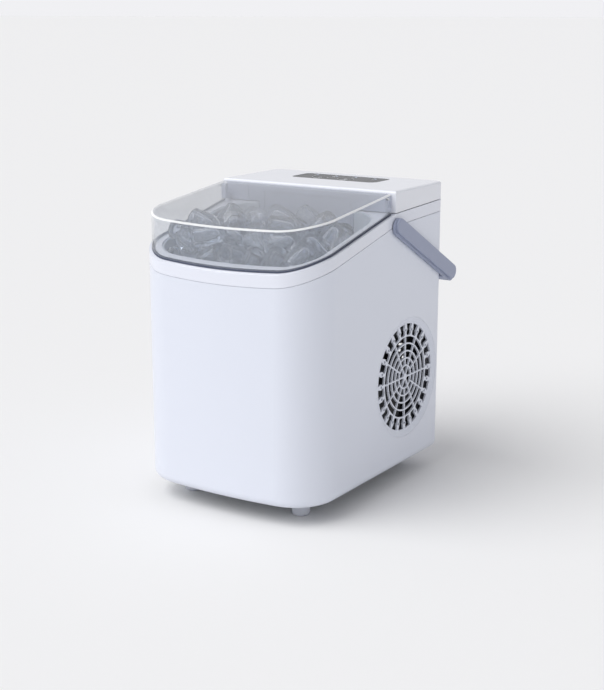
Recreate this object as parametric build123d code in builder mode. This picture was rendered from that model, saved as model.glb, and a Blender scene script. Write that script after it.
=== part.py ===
from build123d import *
from math import atan2, degrees, sqrt
import os

# Countertop ice maker that drops bullet ice into a lidded bin. Millimetres, +X right, +Y back, +Z up.
# The origin is on the floor under the middle of the whole machine, and the front faces -Y.

os.makedirs("parts", exist_ok=True)

# ---------------------------------------------------------------- driving dimensions

FOOT_HEIGHT = 19.0
BODY_HEIGHT = 290.0
BODY_WIDTH = 210.0
BODY_FRONT = -143.0
BODY_BACK = 120.0
BOW_RADIUS = 550.0            # the front face bows gently outwards
CORNER_RADIUS = 46.0
REAR_RADIUS = 9.0
FOOT_EDGE_RADIUS = 8.5        # rounding under the casing
WALL = 2.5
GAP = 0.4                     # shadow gap between mouldings
RUNNING = 0.05                # radial clearance of a running fit

TOP = FOOT_HEIGHT + BODY_HEIGHT
HALF_WIDTH = BODY_WIDTH / 2
COVER_FRONT = 17.0            # where the rear cover begins
RIM_SLOPE = 0.225             # the rim falls towards the front
RIM_KNEE = TOP - 22.3         # rim height at the cover's front edge
RIM_REAR = RIM_KNEE + 3.9
RIM_BEND_Y = -100.0           # from here forward the rim curves down
RIM_BEND_Z = RIM_KNEE - RIM_SLOPE * (COVER_FRONT - RIM_BEND_Y)
RIM_TIP_Z = RIM_BEND_Z - 21.0
LID_SLOPE = 0.117
LID_BEND_Z = TOP - 14.7
LID_TIP_Z = LID_BEND_Z - 11.8
OUTSIDE_Y = 50.0              # how far the profile curves run past the body
COLLAR_DEPTH = 12.0
LIP_INSET = 12.8              # casing face to the bin's opening
BIN_BACK = COVER_FRONT + 0.2
BIN_REAR_RADIUS = 33.0

# ---------------------------------------------------------------- shared outlines


def plan(inset, back, rear_radius):
    """Plan of the body: bowed front, round front corners, straight sides, set in by inset."""
    half = HALF_WIDTH - inset
    front = BODY_FRONT + inset
    bow = BOW_RADIUS - inset
    shoulder = front + bow - sqrt(bow**2 - half**2)
    with BuildSketch(mode=Mode.PRIVATE) as outline:
        with BuildLine():
            ThreePointArc((-half, shoulder), (0, front), (half, shoulder))
            Polyline((half, shoulder), (half, back), (-half, back), (-half, shoulder))
        make_face()
        fillet(outline.vertices().group_by(Axis.Y)[0], CORNER_RADIUS - inset)
        fillet(outline.vertices().group_by(Axis.Y)[-1], rear_radius)
    return outline.sketch


def body_plan(inset=0.0):
    return plan(inset, BODY_BACK - inset, REAR_RADIUS - inset)


def bin_plan(inset=0.0):
    return plan(LIP_INSET + inset, BIN_BACK - inset, BIN_REAR_RADIUS - inset)


def side_profile(knee, slope_end, tip, rear, above):
    """Side view of everything above (or below) a line that runs back to front and curves down."""
    far = TOP + 100 if above else -100
    end_y = RIM_BEND_Y - OUTSIDE_Y
    direction = Vector(slope_end[0] - knee[0], slope_end[1] - knee[1])
    with BuildSketch(mode=Mode.PRIVATE) as profile:
        with BuildLine():
            Polyline((end_y, far), (rear[0], far), rear, knee, slope_end)
            TangentArc(slope_end, (end_y, tip), tangent=direction)
            Line((end_y, tip), (end_y, far))
        make_face()
    return profile.sketch


def rim_profile(drop=0.0, above=True):
    """Side view above or below the rim, lowered by drop."""
    rear_y = BODY_BACK + OUTSIDE_Y
    rear_slope = (RIM_REAR - RIM_KNEE) / (BODY_BACK - COVER_FRONT)
    rear = (rear_y, RIM_KNEE + rear_slope * (rear_y - COVER_FRONT) - drop)
    knee = (COVER_FRONT, RIM_KNEE - drop)
    return side_profile(knee, (RIM_BEND_Y, RIM_BEND_Z - drop), RIM_TIP_Z - drop, rear, above)


def lid_profile(drop=0.0):
    """Side view above the lid's top face, lowered by drop."""
    knee_z = LID_BEND_Z + LID_SLOPE * (COVER_FRONT - RIM_BEND_Y) - drop
    rear = (BODY_BACK, knee_z + LID_SLOPE * (BODY_BACK - COVER_FRONT))
    knee = (COVER_FRONT, knee_z)
    return side_profile(knee, (RIM_BEND_Y, LID_BEND_Z - drop), LID_TIP_Z - drop, rear, True)


def rim_height(y):
    """Height of the rim over the straight stretch of its side view."""
    return RIM_KNEE - RIM_SLOPE * (COVER_FRONT - y)


def casing_block(inset):
    """The body's full envelope, rounded underneath, set in by inset."""
    with BuildPart(mode=Mode.PRIVATE) as block:
        with BuildSketch(Plane.XY.offset(FOOT_HEIGHT + inset)):
            add(body_plan(inset))
        extrude(amount=BODY_HEIGHT)
        fillet(block.edges().group_by(Axis.Z)[0], FOOT_EDGE_RADIUS - inset)
    return block.part


casing_outside = casing_block(0)
casing_inside = casing_block(WALL)
above_casing = rim_profile(COLLAR_DEPTH + GAP)
above_rim = rim_profile()

# ---------------------------------------------------------------- handle, grille and opening places

HANDLE_HEAD = (19.0, TOP - 35.5)        # centre of the strap's rounded upper end, as (y, z)
HANDLE_TAIL = (134.0, TOP - 99.0)       # centre of its lower end
HANDLE_WIDTH = 18.0
HANDLE_INNER = HALF_WIDTH + 0.8
HANDLE_OUTER = HALF_WIDTH + 6.0
strap_length = sqrt((HANDLE_TAIL[0] - HANDLE_HEAD[0]) ** 2 + (HANDLE_TAIL[1] - HANDLE_HEAD[1]) ** 2)
strap_y = (HANDLE_TAIL[0] - HANDLE_HEAD[0]) / strap_length
strap_z = (HANDLE_TAIL[1] - HANDLE_HEAD[1]) / strap_length
PIVOT_ALONG_STRAP = 12.0
HANDLE_PIVOT = (HANDLE_HEAD[0] + PIVOT_ALONG_STRAP * strap_y,
                HANDLE_HEAD[1] + PIVOT_ALONG_STRAP * strap_z)
PIVOT_PIN_RADIUS = 3.5
BUSH_RADIUS = 5.5

GRILLE_CENTRE = (47.0, FOOT_HEIGHT + 94.0)
GRILLE_LIP = 63.0
GRILLE_RING = 58.0

WINDOW_HALF = 94.0                      # rear service window
WINDOW_LOW = FOOT_HEIGHT + 10.0
WINDOW_HIGH = TOP - 42.0
WINDOW_CENTRE = (WINDOW_LOW + WINDOW_HIGH) / 2
WINDOW_HEIGHT = WINDOW_HIGH - WINDOW_LOW
BASE_INSET = 14.0
SCREW_RADIUS = 1.5
REAR_SCREWS = [(x, z) for x in (-90, 0, 90) for z in (WINDOW_LOW + 4, WINDOW_HIGH - 4)]
FEET = [(x, y) for x in (-66, 66) for y in (-95, 96)]

# ---------------------------------------------------------------- casing

with BuildPart() as outer_shell:
    add(casing_outside)
    add(casing_inside, mode=Mode.SUBTRACT)
    with BuildSketch(Plane.YZ):
        add(above_casing)
    extrude(amount=BODY_WIDTH, both=True, mode=Mode.SUBTRACT)
    with BuildSketch(Plane.XY.offset(FOOT_HEIGHT - 1)):
        add(plan(BASE_INSET, BODY_BACK - BASE_INSET, 4))
    extrude(amount=WALL + 2, mode=Mode.SUBTRACT)
    with BuildSketch(Plane.XZ.offset(-BODY_BACK - 1)):
        with Locations((0, WINDOW_CENTRE)):
            RectangleRounded(2 * WINDOW_HALF, WINDOW_HEIGHT, 5)
    extrude(amount=WALL + 2, mode=Mode.SUBTRACT)
    with BuildSketch(Plane.XZ.offset(-BODY_BACK + WALL)):
        with Locations((0, WINDOW_CENTRE)):
            RectangleRounded(2 * WINDOW_HALF + 6, WINDOW_HEIGHT + 6, 6)
            RectangleRounded(2 * WINDOW_HALF - 16, WINDOW_HEIGHT - 16, 4, mode=Mode.SUBTRACT)
        with Locations(*REAR_SCREWS):
            Circle(SCREW_RADIUS, mode=Mode.SUBTRACT)
    extrude(amount=3)
    with BuildSketch(Plane.YZ):
        with Locations(HANDLE_PIVOT):
            Circle(BUSH_RADIUS)
    extrude(amount=BODY_WIDTH, both=True, mode=Mode.SUBTRACT)
    with BuildSketch(Plane.YZ):
        with Locations(GRILLE_CENTRE):
            Circle(GRILLE_LIP)
    extrude(amount=BODY_WIDTH, mode=Mode.SUBTRACT)
outer_shell.part.label = "outer_shell"
export_step(outer_shell.part, "parts/outer_shell.step")

bin_opening = bin_plan()
bin_opening_grown = bin_plan(-WALL)
REAR_WELL_Y = 64.5
REAR_WELL_DEPTH = 85.0
REAR_WELL_HALF = HALF_WIDTH - LIP_INSET

with BuildPart() as collar:
    with BuildSketch(Plane.XY.offset(RIM_TIP_Z - 2 * COLLAR_DEPTH)):
        add(body_plan())
        add(bin_opening, mode=Mode.SUBTRACT)
        with Locations((0, REAR_WELL_Y)):
            RectangleRounded(2 * REAR_WELL_HALF, REAR_WELL_DEPTH, 6, mode=Mode.SUBTRACT)
    extrude(amount=120)
    with BuildSketch(Plane.YZ):
        add(above_rim)
    extrude(amount=BODY_WIDTH, both=True, mode=Mode.SUBTRACT)
    with BuildSketch(Plane.YZ):
        add(rim_profile(COLLAR_DEPTH, above=False))
    extrude(amount=BODY_WIDTH, both=True, mode=Mode.SUBTRACT)
with BuildPart() as collar_pocket:
    with BuildSketch(Plane.XY.offset(RIM_TIP_Z - 2 * COLLAR_DEPTH)):
        add(body_plan(WALL))
        add(bin_opening_grown, mode=Mode.SUBTRACT)
        with Locations((0, REAR_WELL_Y)):
            RectangleRounded(2 * REAR_WELL_HALF + 2 * WALL, REAR_WELL_DEPTH + 2 * WALL, 8, mode=Mode.SUBTRACT)
    extrude(amount=120)
    with BuildSketch(Plane.YZ):
        add(rim_profile(WALL))
    extrude(amount=BODY_WIDTH, both=True, mode=Mode.SUBTRACT)
with BuildPart() as collar_hollow:
    add(collar.part)
    add(collar_pocket.part, mode=Mode.SUBTRACT)
collar_hollow.part.label = "collar"
export_step(collar_hollow.part, "parts/collar.step")

COVER_EDGE_RADIUS = 2.5
KEYS = [("power_key", -22.0), ("select_key", 10.0)]
KEY_Y = 78.0
KEY_WIDTH = 15.0
KEY_DEPTH = 11.0
STEM_WIDTH = 8.0                        # the key's stem goes through a hole in the cover
STEM_DEPTH = 6.0
PANEL_WIDTH = 104.0
PANEL_DEPTH = 39.0
PANEL_CORNER = 8.0
PANEL_Y = 84.0
PANEL_THICKNESS = 1.5
PANEL_TOP = TOP - 0.3                   # the cover's edge stands round the panel and saves it from scratches

with BuildPart() as top_cover:
    with BuildSketch(Plane.XY.offset(RIM_KNEE - 20)):
        add(body_plan())
        with Locations((0, COVER_FRONT - 200)):
            Rectangle(2 * BODY_WIDTH, 400, mode=Mode.SUBTRACT)
    extrude(amount=TOP - RIM_KNEE + 20)
    fillet(top_cover.edges().group_by(Axis.Z)[-1], COVER_EDGE_RADIUS)
    with BuildSketch(Plane.XY.offset(RIM_KNEE - 30)):
        add(body_plan(WALL))
        with Locations((0, COVER_FRONT + WALL - 200)):
            Rectangle(2 * BODY_WIDTH, 400, mode=Mode.SUBTRACT)
    extrude(amount=TOP - RIM_KNEE + 30 - WALL, mode=Mode.SUBTRACT)
    with BuildSketch(Plane.YZ):
        add(rim_profile(-2 * GAP, above=False))
    extrude(amount=BODY_WIDTH, both=True, mode=Mode.SUBTRACT)
    with BuildSketch(Plane.XY.offset(PANEL_TOP - PANEL_THICKNESS)):
        with Locations((0, PANEL_Y)):
            RectangleRounded(PANEL_WIDTH + GAP, PANEL_DEPTH + GAP, PANEL_CORNER + GAP / 2)
    extrude(amount=5, mode=Mode.SUBTRACT)
    with BuildSketch(Plane.XY.offset(TOP - 10)):
        with Locations(*[(x, KEY_Y) for label, x in KEYS]):
            RectangleRounded(STEM_WIDTH + 0.6, STEM_DEPTH + 0.6, 1.2)
    extrude(amount=12, mode=Mode.SUBTRACT)
top_cover.part.label = "top_cover"
export_step(top_cover.part, "parts/top_cover.step")

INDICATORS = [(x, 96.0) for x in (-36, -12, 12, 36)]
LENS_RADIUS = 1.5

with BuildPart() as control_panel:
    with BuildSketch(Plane.XY.offset(PANEL_TOP - PANEL_THICKNESS)):
        with Locations((0, PANEL_Y)):
            RectangleRounded(PANEL_WIDTH, PANEL_DEPTH, PANEL_CORNER)
        with Locations(*[(x, KEY_Y) for label, x in KEYS]):
            RectangleRounded(KEY_WIDTH + 0.6, KEY_DEPTH + 0.6, 2.5, mode=Mode.SUBTRACT)
        with Locations(*INDICATORS):
            Circle(LENS_RADIUS + 0.1, mode=Mode.SUBTRACT)
    extrude(amount=PANEL_THICKNESS)
control_panel.part.label = "control_panel"
export_step(control_panel.part, "parts/control_panel.step")

KEY_TRAVEL = 0.8
for key_name, key_x in KEYS:
    with BuildPart() as key:
        with BuildSketch(Plane.XY.offset(PANEL_TOP)):
            with Locations((key_x, KEY_Y)):
                RectangleRounded(KEY_WIDTH, KEY_DEPTH, 2.2)
        extrude(amount=-(PANEL_THICKNESS - KEY_TRAVEL - 0.1))
        with BuildSketch(Plane.XY.offset(PANEL_TOP - PANEL_THICKNESS + KEY_TRAVEL + 0.1)):
            with Locations((key_x, KEY_Y)):
                RectangleRounded(STEM_WIDTH, STEM_DEPTH, 1)
        extrude(amount=-6)
    key.part.label = key_name
    export_step(key.part, f"parts/{key_name}.step")

with BuildPart() as indicator_lenses:
    with BuildSketch(Plane.XY.offset(PANEL_TOP - PANEL_THICKNESS)):
        with Locations(*INDICATORS):
            Circle(LENS_RADIUS)
    extrude(amount=PANEL_THICKNESS)
indicator_lenses.part.label = "indicator_lenses"
export_step(indicator_lenses.part, "parts/indicator_lenses.step")

CIRCUIT_THICKNESS = 1.6
CIRCUIT_Z = TOP - 12.0
LAMP_SIZE = 5.0
with BuildPart() as control_board:
    with BuildSketch(Plane.XY.offset(CIRCUIT_Z)):
        with Locations((0, PANEL_Y)):
            Rectangle(92, 32)
    extrude(amount=CIRCUIT_THICKNESS)
    with BuildSketch(Plane.XY.offset(CIRCUIT_Z + CIRCUIT_THICKNESS)):
        with Locations(*INDICATORS):
            Rectangle(LAMP_SIZE, LAMP_SIZE)
    extrude(amount=4)
    with BuildSketch(Plane.XY.offset(CIRCUIT_Z)):
        with Locations((-30, PANEL_Y - 4), (28, PANEL_Y + 2)):
            Rectangle(14, 10)
    extrude(amount=-3)
control_board.part.label = "control_board"
export_step(control_board.part, "parts/control_board.step")

# ---------------------------------------------------------------- lid

LID_INSET = 2.8
LID_WALL = 2.2
LID_BACK = COVER_FRONT - 3.8
LID_EDGE_RADIUS = 3.0
LID_PIVOT = (COVER_FRONT - 9.0, TOP - 7.0)
LID_PIN_RADIUS = 1.5
lid_bottom = rim_profile(-GAP, above=False)

with BuildPart() as lid:
    with BuildSketch(Plane.XY.offset(RIM_TIP_Z - 10)):
        add(plan(LID_INSET, LID_BACK, 0.8))
    extrude(amount=TOP - RIM_TIP_Z + 20)
    with BuildSketch(Plane.YZ):
        add(lid_profile())
    extrude(amount=BODY_WIDTH, both=True, mode=Mode.SUBTRACT)
    top_edges = lid.faces().filter_by(lambda face: face.normal_at().Z > 0.7).edges()
    fillet(top_edges.filter_by(lambda edge: abs(edge.center().Y - RIM_BEND_Y) > 1), LID_EDGE_RADIUS)
    with BuildSketch(Plane.YZ):
        add(lid_bottom)
    extrude(amount=BODY_WIDTH, both=True, mode=Mode.SUBTRACT)
with BuildPart() as lid_room:
    with BuildSketch(Plane.XY.offset(RIM_TIP_Z - 20)):
        add(plan(LID_INSET + LID_WALL, LID_BACK + 20, 0.8))
    extrude(amount=TOP - RIM_TIP_Z + 30)
    with BuildSketch(Plane.YZ):
        add(lid_profile(LID_WALL))
    extrude(amount=BODY_WIDTH, both=True, mode=Mode.SUBTRACT)
with BuildPart() as lid_hollow:
    add(lid.part)
    add(lid_room.part, mode=Mode.SUBTRACT)
    with BuildSketch(Plane.YZ):
        with Locations(LID_PIVOT):
            Circle(LID_PIN_RADIUS)
    extrude(amount=BODY_WIDTH, both=True, mode=Mode.SUBTRACT)
lid_hollow.part.label = "lid"
export_step(lid_hollow.part, "parts/lid.step")

LID_INNER_FACE = HALF_WIDTH - LID_INSET - LID_WALL
EAR_REACH = 5.6                             # from the lid's inner face to the far side of the ear
with BuildPart() as lid_hinge_pins:
    with BuildSketch(Plane.YZ.offset(LID_INNER_FACE - EAR_REACH)):
        with Locations(LID_PIVOT):
            Circle(LID_PIN_RADIUS)
    extrude(amount=EAR_REACH + LID_WALL - 0.2)
    mirror(about=Plane.YZ)
lid_hinge_pins.part.label = "lid_hinge_pins"
export_step(lid_hinge_pins.part, "parts/lid_hinge_pins.step")

# ---------------------------------------------------------------- splash guard behind the ice

GUARD_UPPER_HALF = 99.6
GUARD_LOWER_HALF = 57.0
GUARD_LOW = TOP - 54.0
GUARD_HIGH = TOP - 3.5
GUARD_THICKNESS = 1.6
GUARD_BEAD = 0.4                            # raised frame and ribs on the guard's face
EAR_WIDTH = 5.2
RIB_X = 72.5
EAR_RADIUS = 2.4
EAR_FOOT = LID_PIVOT[1] - 13.0              # the ear stands below the pivot, out of the lid's swing
EAR_SHELF = LID_PIVOT[1] - 8.4
rear_rim = rim_height(COVER_FRONT)
ear_front = LID_PIVOT[0] - EAR_RADIUS
ear_back = LID_PIVOT[0] + EAR_RADIUS

with BuildPart() as splash_guard:
    with BuildSketch(Plane.XZ.offset(-COVER_FRONT)):
        with Locations((0, (GUARD_LOW + GUARD_HIGH) / 2)):
            Rectangle(2 * GUARD_LOWER_HALF, GUARD_HIGH - GUARD_LOW)
        with Locations((0, (rear_rim + 1 + GUARD_HIGH) / 2)):
            Rectangle(2 * GUARD_UPPER_HALF, GUARD_HIGH - rear_rim - 1)
    extrude(amount=GUARD_THICKNESS)
    with BuildSketch(Plane.XZ.offset(-COVER_FRONT + GUARD_THICKNESS)):
        with Locations((0, (GUARD_LOW + TOP - 8) / 2)):
            Rectangle(2 * 54, TOP - 8 - GUARD_LOW)
            Rectangle(2 * 51, TOP - 14 - GUARD_LOW, mode=Mode.SUBTRACT)
        with Locations((-RIB_X, (rear_rim + TOP - 2) / 2), (RIB_X, (rear_rim + TOP - 2) / 2)):
            Rectangle(1.6, TOP - 8 - rear_rim)
    extrude(amount=GUARD_BEAD)
    with BuildSketch(Plane.YZ.offset(LID_INNER_FACE - EAR_REACH)):
        with BuildLine():
            Polyline((ear_back, LID_PIVOT[1]), (ear_back, EAR_SHELF), (COVER_FRONT - 1, EAR_SHELF),
                     (COVER_FRONT - 1, EAR_FOOT), (ear_front, EAR_FOOT), (ear_front, LID_PIVOT[1]))
            CenterArc(LID_PIVOT, EAR_RADIUS, 0, 180)
        make_face()
        with Locations(LID_PIVOT):
            Circle(LID_PIN_RADIUS + RUNNING, mode=Mode.SUBTRACT)
    extrude(amount=EAR_WIDTH)
    mirror(about=Plane.YZ)
splash_guard.part.label = "splash_guard"
export_step(splash_guard.part, "parts/splash_guard.step")

# ---------------------------------------------------------------- bin, reservoir, basket and ice

LINER_WALL = 2.0
BAY_FLOOR = FOOT_HEIGHT + 168.0          # floor of the basket bay
RESERVOIR_FLOOR = FOOT_HEIGHT + 48.0
RESERVOIR_BACK = -26.0
RESERVOIR_INSET = 19.0
CHUTE_HALF = 58.0                        # width of the mouth that the ice falls through
CHUTE_LOW = BAY_FLOOR + 8.0
PORT_RADIUS = 5.1
PORT_Z = RESERVOIR_FLOOR + 6.0
DRAIN_PORT_X = -64.0
PUMP_PORT_X = 34.0


def reservoir_plan(inset=0.0):
    return plan(RESERVOIR_INSET + inset, RESERVOIR_BACK - inset, 12 - inset)


liner_outside = bin_plan(0.1)
liner_inside = bin_plan(0.1 + LINER_WALL)
reservoir_outside = reservoir_plan()
reservoir_inside = reservoir_plan(LINER_WALL)

with BuildPart() as bin_liner:
    with BuildSketch(Plane.XY.offset(BAY_FLOOR - LINER_WALL)):
        add(liner_outside)
    extrude(amount=TOP - BAY_FLOOR)
    with BuildSketch(Plane.XY.offset(BAY_FLOOR)):
        add(liner_inside)
    extrude(amount=TOP - BAY_FLOOR, mode=Mode.SUBTRACT)
    with BuildSketch(Plane.XY.offset(RESERVOIR_FLOOR - LINER_WALL)):
        add(reservoir_outside)
    extrude(amount=BAY_FLOOR - RESERVOIR_FLOOR)
    with BuildSketch(Plane.XY.offset(RESERVOIR_FLOOR)):
        add(reservoir_inside)
    extrude(amount=BAY_FLOOR - RESERVOIR_FLOOR + 1, mode=Mode.SUBTRACT)
    with BuildSketch(Plane.XY.offset(CHUTE_LOW)):
        with Locations((0, BIN_BACK - 4)):
            Rectangle(2 * CHUTE_HALF, 12)
    extrude(amount=TOP - CHUTE_LOW, mode=Mode.SUBTRACT)
    with BuildSketch(Plane.YZ):
        add(rim_profile(1.2))
    extrude(amount=BODY_WIDTH, both=True, mode=Mode.SUBTRACT)
    with BuildSketch(Plane.XZ.offset(-RESERVOIR_BACK)):
        with Locations((DRAIN_PORT_X, PORT_Z)):
            Circle(PORT_RADIUS)
        with Locations((PUMP_PORT_X, PORT_Z)):
            Circle(PORT_RADIUS - 1)
    extrude(amount=12, both=True, mode=Mode.SUBTRACT)
bin_liner.part.label = "bin_liner"
export_step(bin_liner.part, "parts/bin_liner.step")

FOAM_LOW = FOOT_HEIGHT + 8.0
with BuildPart() as insulation_foam:
    with BuildSketch(Plane.XY.offset(FOAM_LOW)):
        add(plan(4.0, RESERVOIR_BACK - 1, 3))
    extrude(amount=BAY_FLOOR - LINER_WALL - 0.5 - FOAM_LOW)
    with BuildSketch(Plane.XY.offset(RESERVOIR_FLOOR - LINER_WALL - 0.5)):
        add(plan(RESERVOIR_INSET - 0.5, RESERVOIR_BACK + 5, 12))
    extrude(amount=200, mode=Mode.SUBTRACT)
    fillet(insulation_foam.edges().group_by(Axis.Z)[0], 5)
insulation_foam.part.label = "insulation_foam"
export_step(insulation_foam.part, "parts/insulation_foam.step")

BASKET_INSET = 17.0
BASKET_BACK = 6.0
BASKET_FLOOR = BAY_FLOOR + 2.5
BASKET_WALL = 2.0
basket_outside = plan(BASKET_INSET, BASKET_BACK, 28)
BASKET_MOUTH_HALF = 66.0                 # open at the back for the falling ice
RIM_TO_BASKET = 18.0
FLOOR_SLOT = (14.0, 5.0)                 # drainage slots let the melted ice back into the water
SIDE_SLOT = (24.0, 6.0)
basket_inside = plan(BASKET_INSET + BASKET_WALL, BASKET_BACK - BASKET_WALL, 26)

with BuildPart() as ice_basket:
    with BuildSketch(Plane.XY.offset(BASKET_FLOOR)):
        add(basket_outside)
    extrude(amount=TOP - BASKET_FLOOR)
    with BuildSketch(Plane.XY.offset(BASKET_FLOOR + BASKET_WALL)):
        add(basket_inside)
    extrude(amount=TOP - BASKET_FLOOR, mode=Mode.SUBTRACT)
    with BuildSketch(Plane.YZ):
        add(rim_profile(RIM_TO_BASKET))
    extrude(amount=BODY_WIDTH, both=True, mode=Mode.SUBTRACT)
    with BuildSketch(Plane.XY.offset(BASKET_FLOOR - 1)):
        with GridLocations(20, 16, 7, 6):
            with Locations((0, -58)):
                SlotOverall(*FLOOR_SLOT)
    extrude(amount=BASKET_WALL + 2, mode=Mode.SUBTRACT)
    with BuildSketch(Plane.XZ.offset(-BASKET_BACK - 1)):
        with Locations((0, BASKET_FLOOR + 70)):
            Rectangle(2 * BASKET_MOUTH_HALF, 100)
    extrude(amount=BASKET_WALL + 2, mode=Mode.SUBTRACT)
    with BuildSketch(Plane.YZ):
        with GridLocations(22, 0, 4, 1):
            with Locations((-62, BASKET_FLOOR + 22)):
                SlotOverall(*SIDE_SLOT, rotation=90)
    extrude(amount=BODY_WIDTH, both=True, mode=Mode.SUBTRACT)
ice_basket.part.label = "ice_basket"
export_step(ice_basket.part, "parts/ice_basket.step")

ICE_RADIUS = 10.6
ICE_LENGTH = 27.0
ICE_PITCH_X = 22.6
ICE_PITCH_Y = 22.6
ICE_LAYER = ICE_LENGTH + 0.8
ICE_ROWS = 5
ICE_FIRST_Y = -106.0


def ice_places():
    """Upright places of the bullets: three layers, the upper ones smaller where the lid is low."""
    places = []
    for layer in range(3):
        for row in range(layer // 2 * 2, ICE_ROWS):
            columns = 5 if row == 0 else 7
            for column in range(columns):
                x = (column - (columns - 1) / 2) * ICE_PITCH_X
                places.append((x, ICE_FIRST_Y + row * ICE_PITCH_Y, BASKET_FLOOR + 2.6 + layer * ICE_LAYER))
    return places


with BuildPart() as ice_bullets:
    with Locations(*ice_places()):
        Cylinder(ICE_RADIUS, ICE_LENGTH, align=(Align.CENTER, Align.CENTER, Align.MIN))
    fillet(ice_bullets.faces().filter_by(Axis.Z).filter_by(
        lambda f: f.normal_at().Z > 0).edges(), ICE_RADIUS * 0.6)
    with Locations(*ice_places()):
        Cone(4.6, 2.4, ICE_LENGTH * 0.7, align=(Align.CENTER, Align.CENTER, Align.MIN), mode=Mode.SUBTRACT)
ice_bullets.part.label = "ice_bullets"
export_step(ice_bullets.part, "parts/ice_bullets.step")

SENSOR_Z = BAY_FLOOR + 62.0
FLOAT_X = -70.0
FLOAT_Y = RESERVOIR_BACK - 14.0
FLOAT_STEM_RADIUS = 3.0
FLOAT_RADIUS = 8.0
STEM_LOW = RESERVOIR_FLOOR + 30.0
FLOAT_LOW = RESERVOIR_FLOOR + 44.0
STEM_CAP_LOW = RESERVOIR_FLOOR + 104.0
with BuildPart() as ice_level_sensors:
    with BuildSketch(Plane.YZ.offset(HALF_WIDTH - LIP_INSET)):
        with Locations((-30, SENSOR_Z)):
            RectangleRounded(16, 10, 2)
    extrude(amount=6)
    mirror(about=Plane.YZ)
ice_level_sensors.part.label = "ice_level_sensors"
export_step(ice_level_sensors.part, "parts/ice_level_sensors.step")

with BuildPart() as water_level_sensor:
    with BuildSketch(Plane.XY.offset(STEM_LOW)):
        with Locations((FLOAT_X, FLOAT_Y)):
            Circle(FLOAT_STEM_RADIUS)
    extrude(amount=80)
    with BuildSketch(Plane.XY.offset(FLOAT_LOW)):
        with Locations((FLOAT_X, FLOAT_Y)):
            Circle(FLOAT_RADIUS)
            Circle(FLOAT_STEM_RADIUS, mode=Mode.SUBTRACT)
    extrude(amount=16)
    with BuildSketch(Plane.XY.offset(STEM_CAP_LOW)):
        with Locations((FLOAT_X, FLOAT_Y + 6)):
            RectangleRounded(14, 11.4, 2)
    extrude(amount=6)
water_level_sensor.part.label = "water_level_sensor"
export_step(water_level_sensor.part, "parts/water_level_sensor.step")

# ---------------------------------------------------------------- ice chamber, evaporator and water tray

CHAMBER_HALF = 80.0
CHAMBER_FRONT = COVER_FRONT + 0.3
CHAMBER_BACK = 114.0
CHAMBER_LOW = FOOT_HEIGHT + 146.0
CHAMBER_HIGH = TOP - 42.0
CHAMBER_MIDDLE = (CHAMBER_FRONT + CHAMBER_BACK) / 2
CHAMBER_DEPTH = CHAMBER_BACK - CHAMBER_FRONT
TRAY_PIVOT = (96.0, TOP - 60.0)
SHAFT_RADIUS = 3.0
NOZZLE = (40.0, TOP - 50.5)
HOSE_RADIUS = 4.0

with BuildPart() as ice_chamber:
    with BuildSketch(Plane.XY.offset(CHAMBER_LOW)):
        with Locations((0, CHAMBER_MIDDLE)):
            RectangleRounded(2 * CHAMBER_HALF, CHAMBER_DEPTH, 4)
    extrude(amount=CHAMBER_HIGH - CHAMBER_LOW)
    with BuildSketch(Plane.YZ):
        with BuildLine():
            Polyline((CHAMBER_FRONT + 2, CHAMBER_HIGH + 1), (CHAMBER_BACK - 2, CHAMBER_HIGH + 1),
                     (CHAMBER_BACK - 2, CHAMBER_LOW + 8), (CHAMBER_FRONT + 2, CHAMBER_LOW + 2),
                     (CHAMBER_FRONT + 2, CHAMBER_HIGH + 1))
        make_face()
    extrude(amount=CHAMBER_HALF - 2, both=True, mode=Mode.SUBTRACT)
    with BuildSketch(Plane.XZ.offset(-CHAMBER_FRONT + 3)):
        with Locations((0, (CHUTE_LOW + CHAMBER_HIGH + 2) / 2)):
            Rectangle(2 * CHUTE_HALF, CHAMBER_HIGH + 2 - CHUTE_LOW)
    extrude(amount=-8, mode=Mode.SUBTRACT)
    with BuildSketch(Plane.YZ):
        with Locations(TRAY_PIVOT):
            Circle(SHAFT_RADIUS + RUNNING)
    extrude(amount=CHAMBER_HALF + 1, both=True, mode=Mode.SUBTRACT)
    with BuildSketch(Plane.YZ.offset(CHAMBER_HALF - 4)):
        with Locations(NOZZLE):
            Circle(HOSE_RADIUS + 0.2)
    extrude(amount=6, mode=Mode.SUBTRACT)
ice_chamber.part.label = "ice_chamber"
export_step(ice_chamber.part, "parts/ice_chamber.step")

FINGER_PITCH = 24.0
FINGERS = [(FINGER_PITCH * place, 48.0) for place in range(-2, 3)]
FINGERS += [(FINGER_PITCH * (place + 0.5), 70.0) for place in range(-2, 2)]
FINGER_RADIUS = 4.5
FINGER_LENGTH = 34.0
PLATE_THICKNESS = 4.0
PLATE_DEPTH = 44.0
PLATE_BOLT_X = 74.0
PLATE_Z = CHAMBER_HIGH
EVAPORATOR_TUBE_RADIUS = 3.2
EVAPORATOR_TUBE_Z = PLATE_Z + PLATE_THICKNESS + EVAPORATOR_TUBE_RADIUS

with BuildPart() as evaporator_plate:
    with BuildSketch(Plane.XY.offset(PLATE_Z)):
        with Locations((0, 59)):
            RectangleRounded(2 * CHAMBER_HALF - 1, PLATE_DEPTH, 4)
            with Locations((-PLATE_BOLT_X, 0), (PLATE_BOLT_X, 0)):
                Circle(2, mode=Mode.SUBTRACT)
    extrude(amount=PLATE_THICKNESS)
evaporator_plate.part.label = "evaporator_plate"
export_step(evaporator_plate.part, "parts/evaporator_plate.step")

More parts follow.
